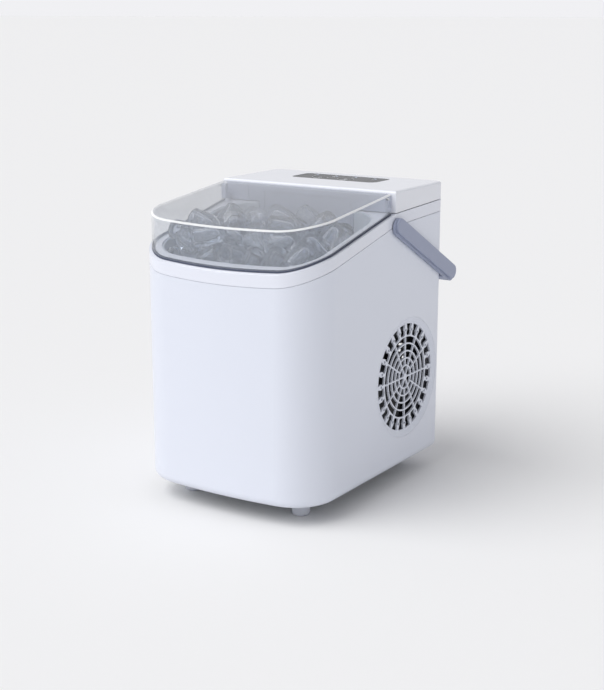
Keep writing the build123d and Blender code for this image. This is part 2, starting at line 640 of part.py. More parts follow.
with BuildPart() as evaporator_fingers:
    with BuildSketch(Plane.XY.offset(PLATE_Z)):
        with Locations(*FINGERS):
            Circle(FINGER_RADIUS)
    extrude(amount=-FINGER_LENGTH)
    fillet(evaporator_fingers.edges().group_by(Axis.Z)[0], 3.5)
evaporator_fingers.part.label = "evaporator_fingers"
export_step(evaporator_fingers.part, "parts/evaporator_fingers.step")

TRAY_HALF = 68.0
TRAY_FRONT = 34.0
TRAY_BACK = 88.0
TRAY_LOW = TRAY_PIVOT[1] - 22.0
TRAY_HIGH = TRAY_PIVOT[1] + 4.0
TRAY_WALL = 2.0
TRAY_MIDDLE = (TRAY_FRONT + TRAY_BACK) / 2
LUG_RADIUS = 6.0                         # the lugs that hold the tray on its shaft
lug_low = TRAY_PIVOT[1] - LUG_RADIUS
lug_high = TRAY_PIVOT[1] + LUG_RADIUS

with BuildPart() as water_tray:
    with BuildSketch(Plane.XY.offset(TRAY_LOW)):
        with Locations((0, TRAY_MIDDLE)):
            RectangleRounded(2 * TRAY_HALF, TRAY_BACK - TRAY_FRONT, 5)
    extrude(amount=TRAY_HIGH - TRAY_LOW)
    fillet(water_tray.edges().group_by(Axis.Z)[0], 4)
    with BuildSketch(Plane.XY.offset(TRAY_LOW + TRAY_WALL)):
        with Locations((0, TRAY_MIDDLE)):
            RectangleRounded(2 * TRAY_HALF - 2 * TRAY_WALL, TRAY_BACK - TRAY_FRONT - 2 * TRAY_WALL, 3)
    extrude(amount=40, mode=Mode.SUBTRACT)
    with BuildSketch(Plane.YZ.offset(TRAY_HALF - 8)):
        with BuildLine():
            Line((TRAY_BACK - 1, lug_low), (TRAY_PIVOT[0], lug_low))
            ThreePointArc((TRAY_PIVOT[0], lug_low), (TRAY_PIVOT[0] + LUG_RADIUS, TRAY_PIVOT[1]),
                          (TRAY_PIVOT[0], lug_high))
            Line((TRAY_PIVOT[0], lug_high), (TRAY_BACK - 1, TRAY_HIGH - 1))
            Line((TRAY_BACK - 1, TRAY_HIGH - 1), (TRAY_BACK - 1, lug_low))
        make_face()
    extrude(amount=6)
    mirror(about=Plane.YZ)
    with BuildSketch(Plane.YZ):
        with Locations(TRAY_PIVOT):
            Circle(SHAFT_RADIUS)
    extrude(amount=TRAY_HALF + 5, both=True, mode=Mode.SUBTRACT)
water_tray.part.label = "water_tray"
export_step(water_tray.part, "parts/water_tray.step")

with BuildPart() as tray_shaft:
    with BuildSketch(Plane.YZ.offset(-CHAMBER_HALF - 6)):
        with Locations(TRAY_PIVOT):
            Circle(SHAFT_RADIUS)
    extrude(amount=2 * CHAMBER_HALF + 8)
tray_shaft.part.label = "tray_shaft"
export_step(tray_shaft.part, "parts/tray_shaft.step")

with BuildPart() as ice_shovel:
    with BuildSketch(Plane.XZ.offset(-TRAY_FRONT)):
        with Locations((0, TRAY_HIGH - 4)):
            Rectangle(120, 6)
        with GridLocations(20, 0, 7, 1):
            with Locations((0, TRAY_HIGH + 3.5)):
                Rectangle(4, 13)
    extrude(amount=3)
ice_shovel.part.label = "ice_shovel"
export_step(ice_shovel.part, "parts/ice_shovel.step")

TRAY_MOTOR_RADIUS = 12.0
TRAY_MOTOR_X = -CHAMBER_HALF - 0.5
TRAY_MOTOR_BORE = 7.0
MOTOR_LUG_REACH = 17.0

with BuildPart() as tray_motor:
    with BuildSketch(Plane.YZ.offset(TRAY_MOTOR_X)):
        with Locations(TRAY_PIVOT):
            Circle(TRAY_MOTOR_RADIUS)
            Circle(SHAFT_RADIUS + RUNNING, mode=Mode.SUBTRACT)
    extrude(amount=-TRAY_MOTOR_BORE)
    with BuildSketch(Plane.YZ.offset(TRAY_MOTOR_X - TRAY_MOTOR_BORE)):
        with Locations(TRAY_PIVOT):
            Circle(TRAY_MOTOR_RADIUS)
    extrude(amount=-9)
    with BuildSketch(Plane.YZ.offset(TRAY_MOTOR_X)):
        with Locations((TRAY_PIVOT[0] - MOTOR_LUG_REACH, TRAY_PIVOT[1]),
                       (TRAY_PIVOT[0], TRAY_PIVOT[1] - MOTOR_LUG_REACH)):
            Circle(3.5)
            Circle(1.5, mode=Mode.SUBTRACT)
        with Locations((TRAY_PIVOT[0] - 13, TRAY_PIVOT[1]), (TRAY_PIVOT[0], TRAY_PIVOT[1] - 13)):
            Rectangle(5, 5)
    extrude(amount=-2.5)
tray_motor.part.label = "tray_motor"
export_step(tray_motor.part, "parts/tray_motor.step")

# ---------------------------------------------------------------- base, feet and rear panel

BASE_THICKNESS = 1.6
BASE_Z = FOOT_HEIGHT + WALL
FOOT_BORE = 2.0
BOLT_HOLE = 2.6
BOLT_SPREAD = 34.0
COMPRESSOR = (-38.0, 52.0)
COMPRESSOR_BOLTS = [(COMPRESSOR[0] + x, COMPRESSOR[1] + y) for x in (-BOLT_SPREAD, BOLT_SPREAD)
                    for y in (-BOLT_SPREAD, BOLT_SPREAD)]

with BuildPart() as base_pan:
    with BuildSketch(Plane.XY.offset(BASE_Z)):
        add(plan(10.0, BODY_BACK - 10, 4))
        with Locations(*FEET):
            Circle(FOOT_BORE + 0.1, mode=Mode.SUBTRACT)
        with Locations(*COMPRESSOR_BOLTS):
            Circle(BOLT_HOLE, mode=Mode.SUBTRACT)
        with GridLocations(14, 0, 6, 1):
            with Locations((-4, -66)):
                SlotOverall(40, 5, rotation=90, mode=Mode.SUBTRACT)
    extrude(amount=BASE_THICKNESS)
base_pan.part.label = "base_pan"
export_step(base_pan.part, "parts/base_pan.step")

FOOT_RADIUS = 9.0
FOOT_SCREW_LENGTH = 12.0
with BuildPart() as rubber_feet:
    with BuildSketch(Plane.XY):
        with Locations(*FEET):
            Circle(FOOT_RADIUS)
    extrude(amount=BASE_Z)
    fillet(rubber_feet.edges().group_by(Axis.Z)[0], 3.2)
    with BuildSketch(Plane.XY.offset(BASE_Z)):
        with Locations(*FEET):
            Circle(FOOT_BORE)
    extrude(amount=-FOOT_SCREW_LENGTH, mode=Mode.SUBTRACT)
rubber_feet.part.label = "rubber_feet"
export_step(rubber_feet.part, "parts/rubber_feet.step")

with BuildPart() as foot_screws:
    with BuildSketch(Plane.XY.offset(BASE_Z + BASE_THICKNESS)):
        with Locations(*FEET):
            Circle(4)
    extrude(amount=1.8)
    fillet(foot_screws.edges().group_by(Axis.Z)[-1], 1.2)
    with BuildSketch(Plane.XY.offset(BASE_Z + BASE_THICKNESS)):
        with Locations(*FEET):
            Circle(FOOT_BORE - RUNNING)
    extrude(amount=-FOOT_SCREW_LENGTH)
foot_screws.part.label = "foot_screws"
export_step(foot_screws.part, "parts/foot_screws.step")

DRAIN = (-77.0, FOOT_HEIGHT + 30.0)
GLAND = (62.0, FOOT_HEIGHT + 30.0)
DRAIN_HOLE = 8.0
GLAND_HOLE = 6.0
CORD_BORE = 4.0
GLAND_FLANGE = 3.0
VENT_ROWS = 14
VENT_PITCH = 7.0
VENT_LOW = FOOT_HEIGHT + 52.0

with BuildPart() as rear_panel:
    with BuildSketch(Plane.XZ.offset(-BODY_BACK)):
        with Locations((0, WINDOW_CENTRE)):
            RectangleRounded(2 * WINDOW_HALF - 0.6, WINDOW_HEIGHT - 0.6, 4.7)
        with Locations(*REAR_SCREWS):
            Circle(SCREW_RADIUS + 0.2, mode=Mode.SUBTRACT)
        with Locations((0, VENT_LOW + VENT_PITCH * (VENT_ROWS - 1) / 2)):
            with GridLocations(52, VENT_PITCH, 3, VENT_ROWS):
                SlotOverall(44, 3, mode=Mode.SUBTRACT)
        with Locations(DRAIN):
            Circle(DRAIN_HOLE, mode=Mode.SUBTRACT)
        with Locations(GLAND):
            Circle(GLAND_HOLE, mode=Mode.SUBTRACT)
    extrude(amount=WALL)
rear_panel.part.label = "rear_panel"
export_step(rear_panel.part, "parts/rear_panel.step")

SCREW_HEAD_RADIUS = 3.0
SCREW_HEAD_HEIGHT = 1.4
CROSS_LENGTH = 3.4
CROSS_WIDTH = 0.8

with BuildPart() as rear_screws:
    with BuildSketch(Plane.XZ.offset(-BODY_BACK)):
        with Locations(*REAR_SCREWS):
            Circle(SCREW_HEAD_RADIUS)
    extrude(amount=-SCREW_HEAD_HEIGHT)
    with BuildSketch(Plane.XZ.offset(-BODY_BACK - SCREW_HEAD_HEIGHT)):
        with Locations(*REAR_SCREWS):
            Rectangle(CROSS_LENGTH, CROSS_WIDTH)
            Rectangle(CROSS_WIDTH, CROSS_LENGTH)
    extrude(amount=0.7, mode=Mode.SUBTRACT)
    with BuildSketch(Plane.XZ.offset(-BODY_BACK)):
        with Locations(*REAR_SCREWS):
            Circle(SCREW_RADIUS - RUNNING)
    extrude(amount=6)
rear_screws.part.label = "rear_screws"
export_step(rear_screws.part, "parts/rear_screws.step")

with BuildPart() as cord_gland:
    with BuildSketch(Plane.XZ.offset(-BODY_BACK)):
        with Locations(GLAND):
            Circle(GLAND_HOLE + GLAND_FLANGE)
            Circle(CORD_BORE, mode=Mode.SUBTRACT)
    extrude(amount=-GLAND_FLANGE)
    fillet(cord_gland.edges().group_by(Axis.Y)[-1].sort_by(SortBy.RADIUS)[-1], 1.5)
    with BuildSketch(Plane.XZ.offset(-BODY_BACK)):
        with Locations(GLAND):
            Circle(GLAND_HOLE - RUNNING)
            Circle(CORD_BORE, mode=Mode.SUBTRACT)
    extrude(amount=WALL)
    with BuildSketch(Plane.XZ.offset(-BODY_BACK + WALL)):
        with Locations(GLAND):
            Circle(GLAND_HOLE + 2)
            Circle(CORD_BORE, mode=Mode.SUBTRACT)
    extrude(amount=GLAND_FLANGE)
cord_gland.part.label = "cord_gland"
export_step(cord_gland.part, "parts/cord_gland.step")

SPOUT_BORE = 5.0
SPOUT_LENGTH = 16.0
SPOUT_TAIL = 10.0
SPOUT_FLANGE = 2.0
HOSE_END = BODY_BACK - SPOUT_LENGTH - SPOUT_TAIL
with BuildPart() as drain_spout:
    with BuildSketch(Plane.XZ.offset(-BODY_BACK)):
        with Locations(DRAIN):
            Circle(DRAIN_HOLE + 3)
            Circle(SPOUT_BORE, mode=Mode.SUBTRACT)
    extrude(amount=-SPOUT_FLANGE)
    with BuildSketch(Plane.XZ.offset(-BODY_BACK)):
        with Locations(DRAIN):
            Circle(DRAIN_HOLE - RUNNING)
            Circle(SPOUT_BORE, mode=Mode.SUBTRACT)
    extrude(amount=SPOUT_LENGTH)
    with BuildSketch(Plane.XZ.offset(-BODY_BACK + SPOUT_LENGTH)):
        with Locations(DRAIN):
            Circle(SPOUT_BORE + 1.5)
            Circle(SPOUT_BORE - 1.2, mode=Mode.SUBTRACT)
    extrude(amount=SPOUT_TAIL)
drain_spout.part.label = "drain_spout"
export_step(drain_spout.part, "parts/drain_spout.step")

PLUG_LENGTH = 10.0
with BuildPart() as drain_plug:
    with BuildSketch(Plane.XZ.offset(-BODY_BACK - SPOUT_FLANGE - 0.1)):
        with Locations(DRAIN):
            Circle(DRAIN_HOLE + 1)
    extrude(amount=-4)
    fillet(drain_plug.edges().group_by(Axis.Y)[-1], 1.5)
    with BuildSketch(Plane.XZ.offset(-BODY_BACK - SPOUT_FLANGE - 0.1)):
        with Locations(DRAIN):
            Circle(SPOUT_BORE - RUNNING)
    extrude(amount=PLUG_LENGTH)
drain_plug.part.label = "drain_plug"
export_step(drain_plug.part, "parts/drain_plug.step")

# ---------------------------------------------------------------- side grille

RIB = 1.5
GRILLE_FACE = HALF_WIDTH - 2.4
GRILLE_THICKNESS = 2.0
GRILLE_BACK = GRILLE_FACE - GRILLE_THICKNESS
INNER_RINGS = [35.2, 27.4, 19.8, 12.2]
LACE_INNER = 43.2
LACE_CELLS = 24
CELL_ANGLE = 360 / LACE_CELLS
SPOKES = 12
HUB_RADIUS = 3.6
grille_y, grille_z = GRILLE_CENTRE

with BuildPart() as side_grille:
    with BuildSketch(Plane.YZ.offset(GRILLE_BACK)):
        with Locations(GRILLE_CENTRE):
            Circle(GRILLE_RING + 1)
            Circle(LACE_INNER - RIB / 2, mode=Mode.SUBTRACT)
            for ring in INNER_RINGS:
                Circle(ring + RIB / 2)
                Circle(ring - RIB / 2, mode=Mode.SUBTRACT)
            Circle(HUB_RADIUS)
            with PolarLocations((INNER_RINGS[-1] + LACE_INNER) / 2, SPOKES):
                Rectangle(LACE_INNER - INNER_RINGS[-1] + 0.4, RIB)
            with PolarLocations((HUB_RADIUS + INNER_RINGS[-1]) / 2, SPOKES // 2):
                Rectangle(INNER_RINGS[-1] - HUB_RADIUS + 1.2, RIB)
            with PolarLocations(GRILLE_RING - 5.3, LACE_CELLS, start_angle=CELL_ANGLE / 2):
                Trapezoid(11.2, 6.8, 72, rotation=90, mode=Mode.SUBTRACT)
            with PolarLocations(LACE_INNER + 3.7, LACE_CELLS, start_angle=CELL_ANGLE / 2):
                RectangleRounded(6.0, 9.2, 2.4, mode=Mode.SUBTRACT)
            with PolarLocations(LACE_INNER + 6.6, LACE_CELLS):
                Rectangle(2.6, 2.6, rotation=45, mode=Mode.SUBTRACT)
    extrude(amount=GRILLE_THICKNESS)
    with BuildSketch(Plane.XZ.offset(-grille_y)):
        with BuildLine():
            Polyline((GRILLE_BACK, grille_z + GRILLE_RING - 0.6),
                     (GRILLE_FACE, grille_z + GRILLE_RING - 0.6),
                     (HALF_WIDTH - 0.2, grille_z + GRILLE_LIP - 1.6),
                     (HALF_WIDTH - 0.2, grille_z + GRILLE_LIP - 0.1),
                     (GRILLE_BACK, grille_z + GRILLE_LIP - 0.1),
                     (GRILLE_BACK, grille_z + GRILLE_RING - 0.6))
        make_face()
    revolve(axis=Axis((0, grille_y, grille_z), (1, 0, 0)))
side_grille.part.label = "side_grille"
export_step(side_grille.part, "parts/side_grille.step")

# ---------------------------------------------------------------- fan and condenser

FAN_HALF = 52.0
FAN_INNER = 76.0
FAN_DEPTH = 23.0
BLADES = 7
BLADE_TIP = 47.0
FAN_HUB_RADIUS = 16.0
MOTOR_SHAFT_RADIUS = 1.5
STRUT_DEPTH = 2.5
MOTOR_DEPTH = 8.0

with BuildPart() as fan_frame:
    with BuildSketch(Plane.YZ.offset(FAN_INNER)):
        with Locations(GRILLE_CENTRE):
            RectangleRounded(2 * FAN_HALF, 2 * FAN_HALF, 6)
            Circle(BLADE_TIP + 1.6, mode=Mode.SUBTRACT)
            with GridLocations(2 * FAN_HALF - 11, 2 * FAN_HALF - 11, 2, 2):
                Circle(2.2, mode=Mode.SUBTRACT)
    extrude(amount=FAN_DEPTH)
    with BuildSketch(Plane.YZ.offset(FAN_INNER)):
        with Locations(GRILLE_CENTRE):
            Circle(FAN_HUB_RADIUS + 1)
            with PolarLocations((BLADE_TIP + FAN_HUB_RADIUS) / 2 + 1, 4, start_angle=45):
                Rectangle(BLADE_TIP - FAN_HUB_RADIUS + 3, 4)
    extrude(amount=STRUT_DEPTH)
fan_frame.part.label = "fan_frame"
export_step(fan_frame.part, "parts/fan_frame.step")

with BuildPart() as fan_motor:
    with BuildSketch(Plane.YZ.offset(FAN_INNER + STRUT_DEPTH)):
        with Locations(GRILLE_CENTRE):
            Circle(12)
    extrude(amount=MOTOR_DEPTH)
    with BuildSketch(Plane.YZ.offset(FAN_INNER + STRUT_DEPTH + MOTOR_DEPTH)):
        with Locations(GRILLE_CENTRE):
            Circle(MOTOR_SHAFT_RADIUS)
    extrude(amount=8)
fan_motor.part.label = "fan_motor"
export_step(fan_motor.part, "parts/fan_motor.step")

fan_plane = Plane(origin=(FAN_INNER + 13, grille_y, grille_z), x_dir=(0, 1, 0), z_dir=(1, 0, 0))
with BuildPart() as fan_rotor:
    with BuildSketch(Plane.YZ.offset(FAN_INNER + 4)):
        with Locations(GRILLE_CENTRE):
            Circle(FAN_HUB_RADIUS)
    extrude(amount=17)
    fillet(fan_rotor.edges().group_by(Axis.X)[-1], 2.5)
    with Locations(fan_plane):
        with PolarLocations((BLADE_TIP + FAN_HUB_RADIUS) / 2 - 1.5, BLADES):
            with Locations(Location((0, 0, 0), (35, 0, 0))):
                Box(BLADE_TIP - FAN_HUB_RADIUS, 22, 1.6)
    with BuildSketch(Plane.YZ.offset(FAN_INNER + 4)):
        with Locations(GRILLE_CENTRE):
            Circle(FAN_HUB_RADIUS - 2)
    extrude(amount=8.5, mode=Mode.SUBTRACT)
    with BuildSketch(Plane.YZ.offset(FAN_INNER + 4)):
        with Locations(GRILLE_CENTRE):
            Circle(MOTOR_SHAFT_RADIUS + RUNNING)
    extrude(amount=15, mode=Mode.SUBTRACT)
fan_rotor.part.label = "fan_rotor"
export_step(fan_rotor.part, "parts/fan_rotor.step")

CONDENSER_X = 63.0
CONDENSER_LOW = FOOT_HEIGHT + 26.0
CONDENSER_RUNS = 7
RUN_PITCH = 18.0
RUN_FRONT = 0.0
RUN_REAR = 96.0
CONDENSER_TUBE_RADIUS = 3.5
FIN_COUNT = 18
FIN_PITCH = 4.2
FIN_THICKNESS = 0.5
run_heights = [CONDENSER_LOW + RUN_PITCH * run for run in range(CONDENSER_RUNS)]
fins_middle = (RUN_FRONT + RUN_REAR) / 2
fin_planes = [Plane.XZ.offset(-(fins_middle + FIN_PITCH * (fin - (FIN_COUNT - 1) / 2)))
              for fin in range(FIN_COUNT)]

with BuildPart() as condenser_fins:
    with BuildSketch(*fin_planes):
        with Locations((CONDENSER_X, run_heights[CONDENSER_RUNS // 2])):
            Rectangle(20, RUN_PITCH * CONDENSER_RUNS)
        with Locations(*[(CONDENSER_X, z) for z in run_heights]):
            Circle(CONDENSER_TUBE_RADIUS + RUNNING, mode=Mode.SUBTRACT)
    extrude(amount=FIN_THICKNESS)
condenser_fins.part.label = "condenser_fins"
export_step(condenser_fins.part, "parts/condenser_fins.step")

condenser_route = []
for run, z in enumerate(run_heights):
    ends = (RUN_REAR, RUN_FRONT) if run % 2 == 0 else (RUN_FRONT, RUN_REAR)
    condenser_route += [(CONDENSER_X, y, z) for y in ends]

# ---------------------------------------------------------------- compressor

COMPRESSOR_LOW = BASE_Z + BASE_THICKNESS + 8.0
COMPRESSOR_RADIUS = 44.0
COMPRESSOR_HEIGHT = 108.0
SUCTION_STUB = (COMPRESSOR[0] - 20, COMPRESSOR[1] - 4)
DISCHARGE_STUB = (COMPRESSOR[0] + 20, COMPRESSOR[1] - 4)
STUB_TOP = COMPRESSOR_LOW + COMPRESSOR_HEIGHT + 5.0
STUB_RADIUS = 3.2

with BuildPart() as compressor:
    with BuildSketch(Plane.XY.offset(COMPRESSOR_LOW)):
        with Locations(COMPRESSOR):
            Circle(COMPRESSOR_RADIUS)
    extrude(amount=COMPRESSOR_HEIGHT)
    fillet(compressor.edges().group_by(Axis.Z)[-1], 24)
    fillet(compressor.edges().group_by(Axis.Z)[0], 10)
    with BuildSketch(Plane.XY.offset(COMPRESSOR_LOW + 0.55 * COMPRESSOR_HEIGHT)):
        with Locations(COMPRESSOR):
            Circle(COMPRESSOR_RADIUS + 1.2)
    extrude(amount=5)
    with BuildSketch(Plane.XY.offset(STUB_TOP)):
        with Locations(SUCTION_STUB, DISCHARGE_STUB):
            Circle(STUB_RADIUS)
    extrude(amount=-20)
compressor.part.label = "compressor"
export_step(compressor.part, "parts/compressor.step")

GROMMET_SHOULDER = 6.0
GROMMET_HEIGHT = 9.0
GROMMET_NECK = 4.0

with BuildPart() as compressor_bracket:
    with BuildSketch(Plane.XY.offset(COMPRESSOR_LOW)):
        with Locations(COMPRESSOR):
            RectangleRounded(84, 84, 12)
            with GridLocations(2 * BOLT_SPREAD, 2 * BOLT_SPREAD, 2, 2):
                Circle(GROMMET_NECK + 0.1, mode=Mode.SUBTRACT)
    extrude(amount=-2)
compressor_bracket.part.label = "compressor_bracket"
export_step(compressor_bracket.part, "parts/compressor_bracket.step")

with BuildPart() as compressor_grommets:
    with BuildSketch(Plane.XY.offset(BASE_Z + BASE_THICKNESS)):
        with Locations(*COMPRESSOR_BOLTS):
            Circle(7)
            Circle(BOLT_HOLE, mode=Mode.SUBTRACT)
    extrude(amount=GROMMET_SHOULDER)
    with BuildSketch(Plane.XY.offset(BASE_Z + BASE_THICKNESS + GROMMET_SHOULDER)):
        with Locations(*COMPRESSOR_BOLTS):
            Circle(GROMMET_NECK)
            Circle(BOLT_HOLE, mode=Mode.SUBTRACT)
    extrude(amount=GROMMET_HEIGHT - GROMMET_SHOULDER)
compressor_grommets.part.label = "compressor_grommets"
export_step(compressor_grommets.part, "parts/compressor_grommets.step")

with BuildPart() as compressor_bolts:
    with BuildSketch(Plane.XY.offset(BASE_Z)):
        with Locations(*COMPRESSOR_BOLTS):
            Circle(BOLT_HOLE - 0.2)
    extrude(amount=BASE_THICKNESS + GROMMET_HEIGHT)
    with BuildSketch(Plane.XY.offset(BASE_Z + BASE_THICKNESS + GROMMET_HEIGHT)):
        with Locations(*COMPRESSOR_BOLTS):
            RegularPolygon(4, 6)
    extrude(amount=3)
compressor_bolts.part.label = "compressor_bolts"
export_step(compressor_bolts.part, "parts/compressor_bolts.step")

with BuildPart() as terminal_cover:
    with BuildSketch(Plane.XY.offset(COMPRESSOR_LOW + 14)):
        with Locations((COMPRESSOR[0], COMPRESSOR[1] - COMPRESSOR_RADIUS - 6)):
            RectangleRounded(34, 16, 3)
        with Locations(COMPRESSOR):
            Circle(COMPRESSOR_RADIUS + RUNNING, mode=Mode.SUBTRACT)
    extrude(amount=30)
    fillet(terminal_cover.faces().sort_by(Axis.Y)[0].edges(), 1.5)
terminal_cover.part.label = "terminal_cover"
export_step(terminal_cover.part, "parts/terminal_cover.step")

# ---------------------------------------------------------------- pump, drier, valve and power board

PUMP = (PUMP_PORT_X, -6.0)
PUMP_LOW = BASE_Z + BASE_THICKNESS
PUMP_HEIGHT = 30.0
PUMP_OUTLET = 6.0
PUMP_ROOM_LOW = PUMP_LOW + 18.0
PUMP_ROOM_HEIGHT = 8.0
IMPELLER_RADIUS = 9.0
IMPELLER_SHAFT_RADIUS = 1.2

with BuildPart() as water_pump:
    with BuildSketch(Plane.XY.offset(PUMP_LOW)):
        with Locations(PUMP):
            Circle(14)
    extrude(amount=PUMP_HEIGHT)
    with BuildSketch(Plane.XY.offset(PUMP_ROOM_LOW)):
        with Locations(PUMP):
            Circle(IMPELLER_RADIUS + 1.2)
            Circle(IMPELLER_SHAFT_RADIUS, mode=Mode.SUBTRACT)
    extrude(amount=PUMP_ROOM_HEIGHT, mode=Mode.SUBTRACT)
    with BuildSketch(Plane.XY.offset(PUMP_LOW + PUMP_HEIGHT)):
        with Locations(PUMP):
            Circle(HOSE_RADIUS)
    extrude(amount=PUMP_OUTLET)
water_pump.part.label = "water_pump"
export_step(water_pump.part, "parts/water_pump.step")

with BuildPart() as pump_impeller:
    with BuildSketch(Plane.XY.offset(PUMP_ROOM_LOW + 0.8)):
        with Locations(PUMP):
            Circle(4)
            with PolarLocations(5.5, 6):
                Rectangle(6, 1.4)
            Circle(IMPELLER_SHAFT_RADIUS + RUNNING, mode=Mode.SUBTRACT)
    extrude(amount=6)
pump_impeller.part.label = "pump_impeller"
export_step(pump_impeller.part, "parts/pump_impeller.step")

DRIER = (30.0, 108.0)
DRIER_LOW = FOOT_HEIGHT + 44.0
DRIER_HEIGHT = 64.0
with BuildPart() as filter_drier:
    with BuildSketch(Plane.XY.offset(DRIER_LOW)):
        with Locations(DRIER):
            Circle(7)
    extrude(amount=DRIER_HEIGHT)
    fillet(filter_drier.edges().group_by(Axis.Z)[0], 4.5)
    fillet(filter_drier.edges().group_by(Axis.Z)[-1], 4.5)
filter_drier.part.label = "filter_drier"
export_step(filter_drier.part, "parts/filter_drier.step")

VALVE = (32.0, 74.0)
with BuildPart() as hot_gas_valve:
    with BuildSketch(Plane.XY.offset(FOOT_HEIGHT + 80)):
        with Locations(VALVE):
            RectangleRounded(20, 18, 3)
    extrude(amount=20)
    with BuildSketch(Plane.XY.offset(FOOT_HEIGHT + 60)):
        with Locations(VALVE):
            Circle(5)
    extrude(amount=46)
hot_gas_valve.part.label = "hot_gas_valve"
export_step(hot_gas_valve.part, "parts/hot_gas_valve.step")

BOARD_Y = -23.0
BOARD_Z = FOOT_HEIGHT + 96.0
BOARD_X = -54.0
BOARD_SIZE = 70.0
with BuildPart() as power_board:
    with BuildSketch(Plane.XZ.offset(-BOARD_Y)):
        with Locations((BOARD_X, BOARD_Z)):
            Rectangle(BOARD_SIZE, BOARD_SIZE)
    extrude(amount=-CIRCUIT_THICKNESS)
    with BuildSketch(Plane.XZ.offset(-BOARD_Y - CIRCUIT_THICKNESS)):
        with Locations((BOARD_X, BOARD_Z + 14)):
            with GridLocations(18, 0, 3, 1):
                Rectangle(14, 18)
        with Locations((-62, BOARD_Z - 16)):
            Rectangle(26, 20)
        with Locations((-32, BOARD_Z - 16)):
            Circle(5)
    extrude(amount=-11)
power_board.part.label = "power_board"
export_step(power_board.part, "parts/power_board.step")

# ---------------------------------------------------------------- pipes, hoses and wiring

LEFT_COLUMN_X = -88.0
COIL_END_X = -76.0
COIL_TURN_X = 66.0
COIL_FRONT = 48.0
COIL_REAR = 70.0
HOSE_COLUMN_X = 90.0
NOZZLE_X = 64.0                         # where the hose's mouth hangs over the tray
DRAIN_COLUMN_X = -90.0
evaporator_z = EVAPORATOR_TUBE_Z
hose_z = CHAMBER_LOW + 5.0
under_chamber_z = CHAMBER_LOW - 8.0
pipe_z = STUB_TOP + 9.0
condenser_top = run_heights[-1]
condenser_bottom = run_heights[0]
drier_top = DRIER_LOW + DRIER_HEIGHT
harness_x = 7.6 - HALF_WIDTH
board_top = BOARD_Z + BOARD_SIZE / 2
evaporator_route = [(COIL_END_X, COIL_FRONT, evaporator_z), (COIL_TURN_X, COIL_FRONT, evaporator_z),
                    (COIL_TURN_X, COIL_REAR, evaporator_z), (COIL_END_X, COIL_REAR, evaporator_z)]
suction_route = [(COIL_END_X, COIL_FRONT, evaporator_z), (LEFT_COLUMN_X, COIL_FRONT, evaporator_z),
                 (LEFT_COLUMN_X, COIL_FRONT, pipe_z), (*SUCTION_STUB, pipe_z), (*SUCTION_STUB, STUB_TOP)]
discharge_route = [(*DISCHARGE_STUB, STUB_TOP), (*DISCHARGE_STUB, pipe_z), (DISCHARGE_STUB[0], 14, pipe_z),
                   (46, 14, pipe_z + 4), (CONDENSER_X, -14, pipe_z + 4),
                   (CONDENSER_X, -14, condenser_top + 1), (CONDENSER_X, -8, condenser_top)]
liquid_route = [(CONDENSER_X, RUN_REAR, condenser_bottom), (CONDENSER_X, DRIER[1], condenser_bottom),
                (*DRIER, condenser_bottom), (*DRIER, DRIER_LOW)]
capillary_route = [(*DRIER, drier_top), (*DRIER, under_chamber_z), (LEFT_COLUMN_X, 104, under_chamber_z),
                   (LEFT_COLUMN_X, COIL_REAR, hose_z), (LEFT_COLUMN_X, COIL_REAR, evaporator_z),
                   (COIL_END_X, COIL_REAR, evaporator_z)]
hose_route = [(*PUMP, PUMP_LOW + PUMP_HEIGHT + PUMP_OUTLET), (*PUMP, hose_z),
              (HOSE_COLUMN_X, PUMP[1], hose_z), (HOSE_COLUMN_X, NOZZLE[0], hose_z),
              (HOSE_COLUMN_X, *NOZZLE), (NOZZLE_X, *NOZZLE)]
drain_route = [(DRAIN_PORT_X, RESERVOIR_BACK - LINER_WALL, PORT_Z), (DRAIN_PORT_X, -8, PORT_Z),
               (DRAIN_COLUMN_X, 6, DRAIN[1] + 10), (DRAIN_COLUMN_X, 62, DRAIN[1]),
               (DRAIN[0], HOSE_END - 8, DRAIN[1]), (DRAIN[0], HOSE_END, DRAIN[1])]
harness_route = [(-40, BOARD_Y + 8, board_top - 4), (-40, BOARD_Y + 8, hose_z),
                 (harness_x, -10, hose_z), (harness_x, 66, hose_z + 8), (harness_x, 66, CHAMBER_HIGH - 8),
                 (LEFT_COLUMN_X + 1, 82, CHAMBER_HIGH + 6), (LEFT_COLUMN_X + 1, 82, TOP - 22),
                 (-48, 82, TOP - 17)]

PIPES = [
    ("condenser_tube", CONDENSER_TUBE_RADIUS, 0, 8.9, condenser_route),
    ("evaporator_tube", EVAPORATOR_TUBE_RADIUS, 0, 9.0, evaporator_route),
    ("suction_line", EVAPORATOR_TUBE_RADIUS, 0, 5.5, suction_route),
    ("discharge_line", 2.5, 0, 2.8, discharge_route),
    ("liquid_line", 2.5, 0, 5.0, liquid_route),
    ("capillary_tube", 1.2, 0, 6.0, capillary_route),
    ("pump_hose", HOSE_RADIUS, 2.6, 9.0, hose_route),
    ("wire_harness", 2.4, 0, 7.0, harness_route),
    ("drain_hose", SPOUT_BORE, 3.6, 9.0, drain_route),
]
for pipe_name, outer, bore, bend, points in PIPES:
    with BuildPart() as pipe:
        with BuildLine() as route:
            FilletPolyline(*points, radius=bend)
        start = Plane(origin=points[0], z_dir=Vector(*points[1]) - Vector(*points[0]))
        with BuildSketch(start):
            Circle(outer)
            if bore:
                Circle(bore, mode=Mode.SUBTRACT)
        sweep(path=route.wire())
    pipe.part.label = pipe_name
    export_step(pipe.part, f"parts/{pipe_name}.step")

# ---------------------------------------------------------------- handle

